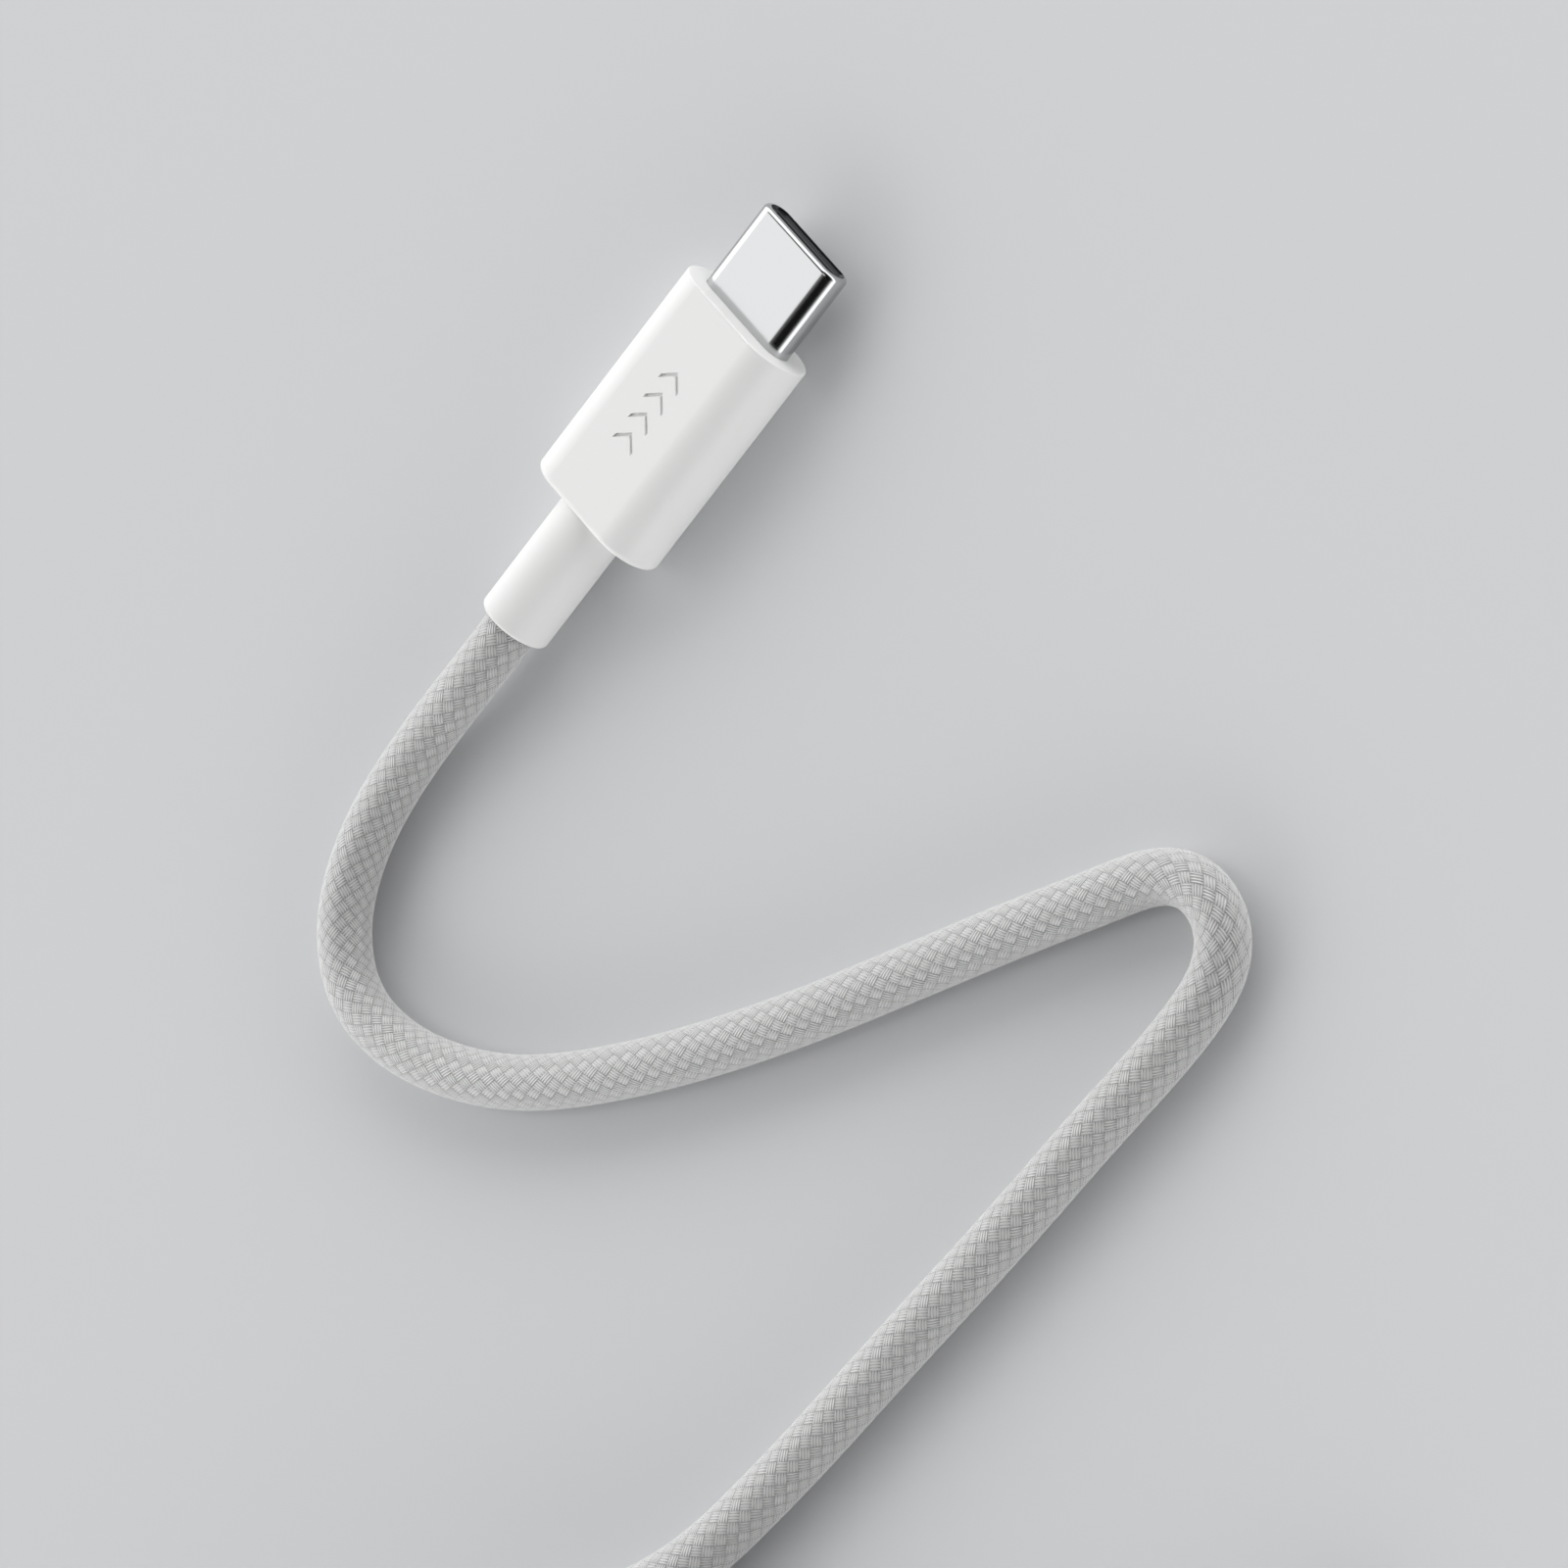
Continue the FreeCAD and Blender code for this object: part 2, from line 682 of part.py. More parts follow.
def make_relief(name):
    """Soft sleeve on the cable, with a neck and a flange that lock it in the housing."""
    body = add("PartDesign::Body", name)
    rear = "-housing_length - relief_length"
    pad(body, disc(body, rear, "relief_diameter"), "relief_length - fit_gap")
    round_edges(body, "relief_round", lambda edge: at_x(edge, rear))
    pad(body, disc(body, "-housing_length - fit_gap", "neck_diameter"), "housing_end + 2 * fit_gap")
    place = "-housing_length + housing_end + fit_gap"
    pad(body, stadium(body, place, "flange_width", "mould_height"), "flange_thick")
    bore = disc(body, "-housing_length - sleeve_stop", "cable_diameter + 2 * fit_gap")
    pocket(body, bore, "relief_length")
    inner = disc(body, "-housing_length + 2 * housing_end + flange_thick", "jacket_diameter + 2 * fit_gap")
    pocket(body, inner, "housing_length")
    return body


def make_ferrule(name):
    body = add("PartDesign::Body", name)
    pad(body, disc(body, "-ferrule_rear", "ferrule_diameter"), "ferrule_length")
    bore = disc(body, "-shield_length - ferrule_gap", "jacket_diameter + 2 * fit_gap")
    pocket(body, bore, "ferrule_length")
    return body


def make_cable_end(name):
    """The cable inside the plug: its woven sleeve ends in the relief, its jacket at the shield."""
    body = add("PartDesign::Body", name)
    rear = "-housing_length - relief_length"
    pad(body, disc(body, rear, "cable_diameter"), "relief_length - sleeve_stop - fit_gap")
    front = "-shield_length - ferrule_gap"
    jacket = disc(body, "-housing_length - sleeve_stop - fit_gap", "jacket_diameter")
    pad(body, jacket, f"{front} + housing_length + sleeve_stop + fit_gap")
    return body


def make_plug(end, along, across):
    """All the pieces of one plug, moved to its place on the table."""
    high = "board_thick / 2 + wire_gap + power_wire_radius"
    power = [("power_wire_place", high), ("-power_wire_place", high)]
    low = "-(board_thick / 2 + wire_gap + signal_wire_radius)"
    signal = [("signal_wire_place", low), ("0", low), ("-signal_wire_place", low)]
    pieces = {
        "plug_shell": make_shell,
        "contact_housing": make_insulator,
        "upper_contacts": lambda name: make_contacts(name, UPPER_CONTACTS, False),
        "lower_contacts": lambda name: make_contacts(name, LOWER_CONTACTS, True),
        "ground_plate": make_ground_plate,
        "left_latch": lambda name: make_latch(name, ""),
        "right_latch": lambda name: make_latch(name, "-"),
        "ground_springs": make_combs,
        "circuit_board": make_board,
        "marker_chip": make_chip,
        "capacitors": make_capacitors,
        "power_wire": lambda name: make_wires(name, power[:1], "power_wire_radius"),
        "ground_wire": lambda name: make_wires(name, power[1:], "power_wire_radius"),
        "signal_wires": lambda name: make_wires(name, signal, "signal_wire_radius"),
        "upper_shield": lambda name: make_shield(name, True),
        "lower_shield": lambda name: make_shield(name, False),
        "inner_mould": make_inner_mould,
        "housing": make_housing,
        "strain_relief": make_relief,
        "crimp_ferrule": make_ferrule,
        "cable_end": make_cable_end,
    }
    for piece, make in pieces.items():
        name = f"{end}_{piece}"
        made = make(name)
        move = made
        if made.TypeId == "Part::Box":
            move = group(f"{name}_placed", [made])
        bind(move, "Placement.Base.x", along)
        bind(move, "Placement.Base.y", across)
        bind(move, "Placement.Base.z", "housing_height / 2")
        PARTS[name] = move


def arc_through(start, corner, stop):
    """The arc from start to stop whose tangents meet at the corner, as an edge."""
    chord_middle = (start + stop) * 0.5
    reach = (corner - start).Length
    rise = (corner - chord_middle).Length
    half_chord = (stop - start).Length / 2
    bulge = half_chord * math.tan(math.asin(rise / reach) / 2)
    top = chord_middle + (corner - chord_middle) * (bulge / rise)
    return Part.Arc(start, top, stop).toShape()


def rounded_path(points, name):
    """Straight runs joined by tangent arcs."""
    edges = []
    last = points[0]
    radii = []
    for before, corner, after in zip(points, points[1:], points[2:]):
        back = before - corner
        on = after - corner
        cut_back = CORNER_SHARE * min(back.Length, on.Length)
        turn = math.pi - back.getAngle(on)
        radii.append(cut_back / math.tan(turn / 2))
        start = corner + back * (cut_back / back.Length)
        stop = corner + on * (cut_back / on.Length)
        edges.append(Part.LineSegment(last, start).toShape())
        edges.append(arc_through(start, corner, stop))
        last = stop
    edges.append(Part.LineSegment(last, points[-1]).toShape())
    print(f"{name} radii", [round(radius, 1) for radius in radii])
    return Part.Wire(edges)


def biarc(start, leaving, stop, arriving):
    """Two arcs, tangent to each other and to the two given directions."""
    span = stop - start
    both = leaving + arriving
    square = both.dot(both) - 4
    mixed = span.dot(both)
    reach = (mixed - math.sqrt(mixed * mixed - square * span.dot(span))) / square
    first = start + leaving * reach
    second = stop - arriving * reach
    middle = (first + second) * 0.5
    return [arc_through(start, first, middle), arc_through(middle, second, stop)]


def coil_path(entry, heading):
    """A spiral in on the lower layer and out on the upper one, with a straight lead at each end.

    Its radius falls and grows at a steady rate, and it climbs in the half turn where it reverses.
    """
    pitch = size("cable_diameter + turn_gap")
    layer_pitch = size("cable_diameter + layer_gap")
    inner = size("inner_turn_radius")
    half_turns = math.radians(COIL_TURN_DEGREES) / 2
    outer = inner + pitch * half_turns / (2 * math.pi)
    slant = math.atan(pitch / (2 * math.pi) / outer)
    lead = size("lead_length")
    begin = entry + heading * lead
    facing = math.atan2(heading.y, heading.x)
    first_angle = facing - math.pi / 2 - slant
    centre = begin - Vector(math.cos(first_angle), math.sin(first_angle), 0) * outer
    climb = math.pi / 2

    def station(turned):
        """The point and direction of the path, turned about the centre from its start."""
        off = turned - half_turns
        radius = inner + pitch * abs(off) / (2 * math.pi)
        rate = 0 if abs(off) < TOUCHING else math.copysign(pitch / (2 * math.pi), off)
        share = min(1, max(0, (off + climb) / (2 * climb)))
        rise = layer_pitch * share * share * (3 - 2 * share)
        slope = layer_pitch * 6 * share * (1 - share) / (2 * climb)
        angle = first_angle + turned
        out = Vector(math.cos(angle), math.sin(angle), 0)
        along = Vector(-math.sin(angle), math.cos(angle), 0)
        point = centre + out * radius + Vector(0, 0, rise)
        direction = along * radius + out * rate + Vector(0, 0, slope)
        return point, direction.normalize()

    stations = [station(2 * half_turns * step / COIL_STEPS) for step in range(COIL_STEPS + 1)]
    edges = [Part.LineSegment(entry, stations[0][0]).toShape()]
    for (start, leaving), (stop, arriving) in zip(stations, stations[1:]):
        edges.extend(biarc(start, leaving, stop, arriving))
    last, direction = stations[-1]
    way_out = last + direction * lead
    edges.append(Part.LineSegment(last, way_out).toShape())
    return Part.Wire(edges), way_out, direction, centre


def least_gap(path, diameter):
    """How near the tube's surface comes to itself, more than a few diameters along it."""
    step = 1.0
    count = int(path.Length / step)
    points = path.discretize(Number=count)
    apart = int(6 * diameter / step)
    nearest = min(
        (points[i] - points[j]).Length for i in range(count) for j in range(i + apart, count)
    )
    return nearest - diameter


def tube(name, path, start, direction):
    """A round tube along the path."""
    diameter = size("cable_diameter")
    ring = Part.Wire(Part.Circle(start, direction, diameter / 2).toShape())
    solid = path.makePipeShell([ring], True, False)
    expected = math.pi * diameter * diameter / 4 * path.Length
    print(f"{name} length {path.Length:.1f}, volume {solid.Volume:.1f}, section by length {expected:.1f}")
    made = add("Part::Feature", name)
    made.Shape = solid
    PARTS[name] = made
    return path.Length


def strap_reach(path, centre):
    """How near the coil's middle the turns under the strap come, and how far from it they go."""
    turn_back = Rotation(Vector(0, 0, 1), -size("strap_angle"))
    points = [turn_back.multVec(point - centre) for point in path.discretize(Number=4000)]
    half_width = size("strap_width + cable_diameter") / 2
    reach = [point.x for point in points if point.x > 0 and abs(point.y) < half_width]
    room = size("cable_diameter / 2 + strap_room")
    return min(reach) - room, max(reach) + room


def make_strap(name, centre, low, high):
    """A woven strap closed round all the turns, its end lapped over itself on top."""
    body = add("PartDesign::Body", name)
    sides = (f"{low} - strap_thick", f"{high} + strap_thick")
    top = "2 * (strap_thick + strap_room + cable_diameter) + layer_gap"
    # The XZ plane's own axes are x and z: x runs out from the coil's middle.
    pad(body, rectangle(body, "XZ_Plane", "0", sides, ("0", top)), "strap_width", middle=True)
    round_edges(body, "strap_round", along_y)
    up = ("strap_thick", f"{top} - strap_thick")
    inside = rectangle(body, "XZ_Plane", "0", (f"{low}", f"{high}"), up)
    pocket(body, inside, "2 * strap_width", middle=True)
    inner_sides = (low, high)
    inner_levels = (size(up[0]), size(up[1]))
    round_edges(
        body,
        "strap_round - strap_thick",
        lambda edge: along_y(edge)
        and nearest(edge.CenterOfMass.x, inner_sides) < TOUCHING
        and nearest(edge.CenterOfMass.z, inner_levels) < TOUCHING,
    )
    middle = (low + high) / 2
    lap = (f"{middle} - strap_tab / 2", f"{middle} + strap_tab / 2")
    tab = rectangle(body, "XZ_Plane", "0", lap, (f"{top} - strap_thick / 2", f"{top} + strap_thick"))
    pad(body, tab, "strap_width", middle=True)
    turned = Rotation(Vector(0, 0, 1), size("strap_angle"))
    body.Placement = Placement(Vector(centre.x, centre.y, 0), turned)
    PARTS[name] = body


def along_y(edge):
    """Whether an edge runs straight across the strap."""
    extent = edge.BoundBox
    return extent.YLength > extent.XLength + extent.ZLength


def nearest(number, values):
    """How far a number is from the nearest of some values."""
    return min(abs(number - value) for value in values)


make_plug("near", "(housing_length + relief_length - shell_reach) / 2", "0")
make_plug("far", f"{FAR_EXIT[0]} + housing_length + relief_length", f"{FAR_EXIT[1]}")

middle_height = size("housing_height") / 2
lying_height = size("cable_diameter / 2 + table_gap")
near_exit = Vector(-size("housing_length + relief_length + shell_reach") / 2, 0, middle_height)
far_exit = Vector(FAR_EXIT[0], FAR_EXIT[1], middle_height)

free_points = [near_exit] + [Vector(x, y, lying_height + lift) for x, y, lift in FREE_RUN]
free_path = rounded_path(free_points, "cable_free_run")
total = tube("cable_free_run", free_path, near_exit, Vector(-1, 0, 0))

coil_entry = free_points[-1]
entry_heading = (free_points[-1] - free_points[-2]).normalize()
spiral, coil_exit, exit_heading, coil_centre = coil_path(coil_entry, entry_heading)
total += tube("cable_coil", spiral, coil_entry, entry_heading)
print(f"coil centre {coil_centre.x:.1f} {coil_centre.y:.1f}, exit {coil_exit}")
print(f"coil least gap to itself {least_gap(spiral, size('cable_diameter')):.2f}")

tail_run = size("tail_run")
tail_points = [
    coil_exit,
    coil_exit + exit_heading * tail_run,
    far_exit - Vector(tail_run, 0, 0),
    far_exit,
]
total += tube("cable_tail", rounded_path(tail_points, "cable_tail"), coil_exit, exit_heading)
print(f"cable between the plugs {total:.1f}")

make_strap("coil_tie", coil_centre, *strap_reach(spiral, coil_centre))
doc.recompute()

for thing in doc.Objects:
    if "Invalid" in thing.State or "Error" in thing.State:
        raise RuntimeError(f"{thing.Name} is {thing.State}")
for name, thing in PARTS.items():
    if thing.Shape.isNull() or not thing.Shape.isValid():
        raise RuntimeError(f"{name} has no valid shape")

os.makedirs("parts", exist_ok=True)
for name, thing in PARTS.items():
    thing.Shape.exportStep(f"parts/{name}.step")
print(len(PARTS), "sub-parts")
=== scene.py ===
import math

import bmesh
import bpy
from mathutils import Matrix, Vector


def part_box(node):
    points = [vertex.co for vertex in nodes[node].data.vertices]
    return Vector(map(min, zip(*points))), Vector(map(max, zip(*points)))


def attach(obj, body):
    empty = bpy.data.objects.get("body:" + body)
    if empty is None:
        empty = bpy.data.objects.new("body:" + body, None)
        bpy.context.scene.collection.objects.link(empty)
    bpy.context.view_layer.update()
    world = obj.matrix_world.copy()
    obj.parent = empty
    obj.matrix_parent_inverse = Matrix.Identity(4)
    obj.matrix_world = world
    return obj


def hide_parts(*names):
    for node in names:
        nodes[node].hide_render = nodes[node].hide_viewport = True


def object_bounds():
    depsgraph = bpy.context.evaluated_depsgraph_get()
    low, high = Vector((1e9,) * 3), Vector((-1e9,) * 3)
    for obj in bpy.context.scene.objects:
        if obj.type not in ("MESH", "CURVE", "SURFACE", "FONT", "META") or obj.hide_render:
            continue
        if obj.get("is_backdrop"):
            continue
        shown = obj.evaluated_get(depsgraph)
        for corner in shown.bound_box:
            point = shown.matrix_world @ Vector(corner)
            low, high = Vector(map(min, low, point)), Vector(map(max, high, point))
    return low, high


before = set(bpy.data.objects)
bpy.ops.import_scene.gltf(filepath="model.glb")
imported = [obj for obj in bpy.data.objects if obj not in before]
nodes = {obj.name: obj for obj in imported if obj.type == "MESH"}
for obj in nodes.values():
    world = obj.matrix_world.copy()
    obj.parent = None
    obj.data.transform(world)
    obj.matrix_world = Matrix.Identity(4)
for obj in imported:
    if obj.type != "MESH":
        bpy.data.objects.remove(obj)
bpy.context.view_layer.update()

MM = 0.001

# The table top: a pale matt laminate, much wider than the view, that the cable lies on. It is the
# stage and not a part of the object.


def linear(hex_colour):
    """The linear colour of an sRGB hex value."""
    values = [int(hex_colour[i : i + 2], 16) / 255 for i in (1, 3, 5)]
    parts = [v / 12.92 if v <= 0.04045 else ((v + 0.055) / 1.055) ** 2.4 for v in values]
    return (*parts, 1.0)


def new_material(name):
    """A material with its node tree, and its Principled shader."""
    made = bpy.data.materials.new(name)
    made.use_nodes = True
    return made, made.node_tree.nodes["Principled BSDF"]


def add_node(material, kind, settings=None, **inputs):
    """One shader node: its own settings, then its sockets by name or, as _0, by number."""
    tree = material.node_tree
    made = tree.nodes.new(kind)
    for name, value in (settings or {}).items():
        setattr(made, name, value)
    for name, value in inputs.items():
        key = int(name[1:]) if name[1:].isdigit() else name.replace("_", " ")
        socket = made.inputs[key]
        if isinstance(value, bpy.types.NodeSocket):
            tree.links.new(value, socket)
        else:
            socket.default_value = value
    return made


def feed(material, output, socket):
    """Links a node's output to a socket."""
    material.node_tree.links.new(output, socket)


laminate, laminate_shader = new_material("matt_laminate")
laminate_shader.inputs["Base Color"].default_value = linear("#DADBDD")
laminate_shader.inputs["Roughness"].default_value = 0.85
laminate_place = add_node(laminate, "ShaderNodeTexCoord")
LAMINATE_GRAIN = 0.6 * MM
laminate_grain = add_node(
    laminate,
    "ShaderNodeTexNoise",
    Vector=laminate_place.outputs["Object"],
    Scale=1 / LAMINATE_GRAIN,
    Detail=2.0,
)
laminate_bump = add_node(
    laminate,
    "ShaderNodeBump",
    Height=laminate_grain.outputs["Fac"],
    Strength=0.08,
    Distance=0.05 * MM,
)
feed(laminate, laminate_bump.outputs["Normal"], laminate_shader.inputs["Normal"])

TABLE_SIDE = 3.0
bpy.ops.object.select_all(action="DESELECT")
bpy.ops.mesh.primitive_plane_add(size=TABLE_SIDE, location=(0, 0, 0))
table_top = bpy.context.object
table_top.name = "table_top"
table_top.data.materials.append(laminate)
table_top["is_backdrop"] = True

# The camera, on the photograph's own side of the cable and turned as it was there, and the light:
# a bright white room all round, dark overhead but for two lit openings, and one soft box beyond
# the plug.

camera_data = bpy.data.cameras.new("camera")
camera_data.sensor_width = 36.0
camera_data.lens = 257.5
camera = bpy.data.objects.new("camera", camera_data)
bpy.context.scene.collection.objects.link(camera)
CAMERA_PLACE = Vector((0.2211, -0.3807, 0.5818))
CAMERA_RIGHT = Vector((0.5835, -0.5669, -0.5816))
CAMERA_UP = Vector((0.7461, 0.6571, 0.1080))
CAMERA_BACK = Vector((0.3209, -0.4969, 0.8063))
camera_turn = Matrix((CAMERA_RIGHT, CAMERA_UP, CAMERA_BACK)).transposed()
camera.matrix_world = Matrix.Translation(CAMERA_PLACE) @ camera_turn.to_4x4()
camera_data.clip_start = 0.05
camera_data.clip_end = 20.0
bpy.context.scene.camera = camera

# The soft box faces the middle of the view.
VIEW_MIDDLE = Vector((-0.012, -0.025, 0.0))
TOWARDS_BOX = Vector((0.65, 0.6, 0.55)).normalized()
BOX_DISTANCE = 1.0
side_box_data = bpy.data.lights.new("side_box", "AREA")
side_box_data.shape = "RECTANGLE"
side_box_data.size = 0.7
side_box_data.size_y = 0.6
side_box_data.energy = 1.2
side_box = bpy.data.objects.new("side_box", side_box_data)
bpy.context.scene.collection.objects.link(side_box)
side_box.location = VIEW_MIDDLE + TOWARDS_BOX * BOX_DISTANCE
side_box.rotation_mode = "QUATERNION"
side_box.rotation_quaternion = (-TOWARDS_BOX).to_track_quat("-Z", "Y")

bpy.context.scene.view_settings.view_transform = "Standard"
world = bpy.data.worlds.new("studio")
bpy.context.scene.world = world
world.use_nodes = True
# The dark part of the room is what the shell's round edge mirrors as a black line: the way to its
# middle, and how far round from there the room is black, dark grey and white.
DARK_OVERHEAD = Vector((0.05, -0.2, 0.98)).normalized()
ROOM_SHADES = ((43, "#0A0A0A"), (52, "#585858"), (64, "#FFFFFF"))
# The lit openings are what the shell's flat top mirrors, to the camera and straight upwards: where
# each is, and how far round from there it is lit and has faded out.
OPENINGS = {
    (-0.3209, 0.4969, 0.8063): ((15, "#DCDCDC"), (25, "#000000")),
    (0.0, 0.0, 1.0): ((8, "#B4B4B4"), (17, "#000000")),
}
room_place = add_node(world, "ShaderNodeTexCoord")


def lit_from(middle, shades):
    """The room's colour round a middle, from pairs of the degrees away from it and a colour."""
    facing = add_node(
        world,
        "ShaderNodeVectorMath",
        {"operation": "DOT_PRODUCT"},
        _0=room_place.outputs["Generated"],
        _1=middle,
    )
    ramp = add_node(world, "ShaderNodeValToRGB", Fac=facing.outputs["Value"])
    for _ in shades[2:]:
        ramp.color_ramp.elements.new(0.5)
    for stop, (degrees, colour) in zip(ramp.color_ramp.elements, reversed(shades)):
        stop.position = math.cos(math.radians(degrees))
        stop.color = linear(colour)
    return ramp.outputs["Color"]


room_colour = lit_from(DARK_OVERHEAD, ROOM_SHADES)
for middle, shades in OPENINGS.items():
    brighter = add_node(
        world,
        "ShaderNodeVectorMath",
        {"operation": "MAXIMUM"},
        _0=room_colour,
        _1=lit_from(middle, shades),
    )
    room_colour = brighter.outputs["Vector"]
room_light = world.node_tree.nodes["Background"]
feed(world, room_colour, room_light.inputs["Color"])
room_light.inputs["Strength"].default_value = 2.1

# The cable: a round flexible lead in a sleeve braided from fine white polyester yarn, twelve
# flat strands each way round. It is drawn as one tube along one smooth line, from the near strain
# relief to the far one, and the braid follows the tube's own map.

CABLE_DIAMETER = 3.65 * MM
OFF_TABLE = 0.005 * MM
CABLE_LIES_AT = CABLE_DIAMETER / 2 + OFF_TABLE
near_relief_low, near_relief_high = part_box("near_strain_relief")
far_relief_low, far_relief_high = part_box("far_strain_relief")
axis_height = (near_relief_low.z + near_relief_high.z) / 2
near_exit = Vector((near_relief_low.x, 0.0, axis_height))
far_exit = Vector((far_relief_low.x, (far_relief_low.y + far_relief_high.y) / 2, axis_height))

# Out of the strain relief, down to the table, round both bends and on to the coil: each point's
# place from above, and how far the cable is lifted off the table there, in millimetres.
FREE_RUN = [
    (-20.8, 0.0, 0.92),
    (-26.2, 0.5, 0.27),
    (-31.8, 0.3, 0.0),
    (-36.4, -0.9, 0.0),
    (-40.3, -3.3, 0.0),
    (-42.7, -7.2, 0.0),
    (-42.6, -11.8, 0.0),
    (-40.9, -16.4, 0.0),
    (-37.8, -21.2, 0.0),
    (-33.2, -25.6, 0.0),
    (-27.0, -30.3, 0.0),
    (-19.6, -35.0, 0.0),
    (-11.8, -39.3, 0.0),
    (-4.8, -43.1, 0.0),
    (0.9, -46.4, 0.0),
    (5.5, -49.0, 0.0),
    (7.1, -51.9, 0.0),
    (6.4, -55.2, 0.0),
    (3.7, -57.2, 0.0),
    (-1.5, -57.5, 0.0),
    (-8.6, -57.0, 0.0),
    (-18.6, -56.6, 0.0),
    (-29.6, -55.8, 0.0),
    (-40.0, -55.2, 0.0),
    (-50.6, -54.0, 0.1),
    (-59.3, -49.7, 0.895),
    (-67.0, -46.0, 0.895),
]
route = [near_exit]
for x, y, lift in FREE_RUN:
    route.append(Vector((x * MM, y * MM, CABLE_LIES_AT + lift * MM)))

# The coil spirals in on the lower layer and out on the upper one, and climbs between them in the
# half turn where it reverses. A short straight lead joins it to the rest at both ends.
INNER_TURN = 11.5 * MM
TURN_GAP = 0.5 * MM
TURN_PITCH = CABLE_DIAMETER + TURN_GAP
LEAD = 4.0 * MM
COIL_TURN = math.radians(2364.0)
COIL_POINTS_PER_TURN = 18
CLIMB = math.pi / 2
heading = (route[-1] - route[-2]).normalized()
outer_turn = INNER_TURN + TURN_PITCH * COIL_TURN / (4 * math.pi)
slant = math.atan(TURN_PITCH / (2 * math.pi) / outer_turn)
first_angle = math.atan2(heading.y, heading.x) - math.pi / 2 - slant
coil_start = route[-1] + heading * LEAD
coil_centre = coil_start - Vector((math.cos(first_angle), math.sin(first_angle), 0)) * outer_turn
coil_steps = round(COIL_TURN / (2 * math.pi) * COIL_POINTS_PER_TURN)
# A smooth line passes inside its points, so they stand out by what it cuts off.
stand_out = 1 / math.cos(COIL_TURN / coil_steps / 2)
for step in range(coil_steps + 1):
    turned = COIL_TURN * step / coil_steps
    off = turned - COIL_TURN / 2
    radius = (INNER_TURN + TURN_PITCH * abs(off) / (2 * math.pi)) * stand_out
    share = min(1, max(0, (off + CLIMB) / (2 * CLIMB)))
    rise = TURN_PITCH * share * share * (3 - 2 * share)
    angle = first_angle + turned
    route.append(coil_centre + Vector((math.cos(angle) * radius, math.sin(angle) * radius, rise)))
last_angle = first_angle + COIL_TURN
way_out = Vector((-math.sin(last_angle), math.cos(last_angle), 0))
way_out += Vector((math.cos(last_angle), math.sin(last_angle), 0)) * math.tan(slant)
way_out.normalize()

# And then straight into the far plug's strain relief.
TAIL_RUN = 6.6 * MM
route.append(route[-1] + way_out * (LEAD + TAIL_RUN))
route.append(far_exit - Vector((TAIL_RUN, 0, 0)))
route.append(far_exit)

line_data = bpy.data.curves.new("cable_line", "CURVE")
line_data.dimensions = "3D"
line_data.resolution_u = 14
spline = line_data.splines.new("NURBS")
spline.points.add(len(route) - 1)
for point, place in zip(spline.points, route):
    point.co = (*place, 1.0)
spline.order_u = 3
spline.use_endpoint_u = True
line = bpy.data.objects.new("cable_line", line_data)
bpy.context.scene.collection.objects.link(line)
bpy.context.view_layer.update()
smooth_line = line.evaluated_get(bpy.context.evaluated_depsgraph_get())
line_mesh = bpy.data.meshes.new_from_object(smooth_line)
line_points = [v.co.copy() for v in line_mesh.vertices]
bpy.data.objects.remove(line)
bpy.data.meshes.remove(line_mesh)


def spaced(points, step):
    """Points an even step apart along a line of close ones, and how far along it each lies."""
    reach = [0.0]
    for a, b in zip(points, points[1:]):
        reach.append(reach[-1] + (b - a).length)
    count = round(reach[-1] / step)
    made = []
    k = 0
    for i in range(count + 1):
        goal = reach[-1] * i / count
        while k < len(points) - 2 and reach[k + 1] < goal:
            k += 1
        share = (goal - reach[k]) / (reach[k + 1] - reach[k])
        made.append((points[k].lerp(points[k + 1], share), goal))
    return made


RING_STEP = 0.6 * MM
RING_SIDES = 56
stations = spaced(line_points, RING_STEP)
cable_path = [point for point, along in stations]

cable_mesh = bmesh.new()
map_layer = cable_mesh.loops.layers.uv.new("braid_map")
side = Vector((0, 1, 0))
rings = []
for i, (point, along) in enumerate(stations):
    before = cable_path[max(i - 1, 0)]
    after = cable_path[min(i + 1, len(cable_path) - 1)]
    forward = (after - before).normalized()
    side = (side - forward * side.dot(forward)).normalized()
    across = forward.cross(side)
    ring = []
    for k in range(RING_SIDES):
        angle = 2 * math.pi * k / RING_SIDES
        out = side * math.cos(angle) + across * math.sin(angle)
        ring.append(cable_mesh.verts.new(point + out * CABLE_DIAMETER / 2))
    rings.append(ring)
for i, (ring, next_ring) in enumerate(zip(rings, rings[1:])):
    for k in range(RING_SIDES):
        j = (k + 1) % RING_SIDES
        face = cable_mesh.faces.new((ring[k], ring[j], next_ring[j], next_ring[k]))
        face.smooth = True
        # Across the map, one is the whole way round; along it, one is a metre.
        corners = ((k, i), (k + 1, i), (k + 1, i + 1), (k, i + 1))
        for loop, (turn, ring_number) in zip(face.loops, corners):
            loop[map_layer].uv = (turn / RING_SIDES, stations[ring_number][1])
cable_mesh.faces.new(reversed(rings[0]))
cable_mesh.faces.new(rings[-1])
bmesh.ops.recalc_face_normals(cable_mesh, faces=cable_mesh.faces)
cable_data = bpy.data.meshes.new("woven_cable")
cable_mesh.to_mesh(cable_data)
cable_mesh.free()
woven_cable = bpy.data.objects.new("woven_cable", cable_data)
bpy.context.scene.collection.objects.link(woven_cable)

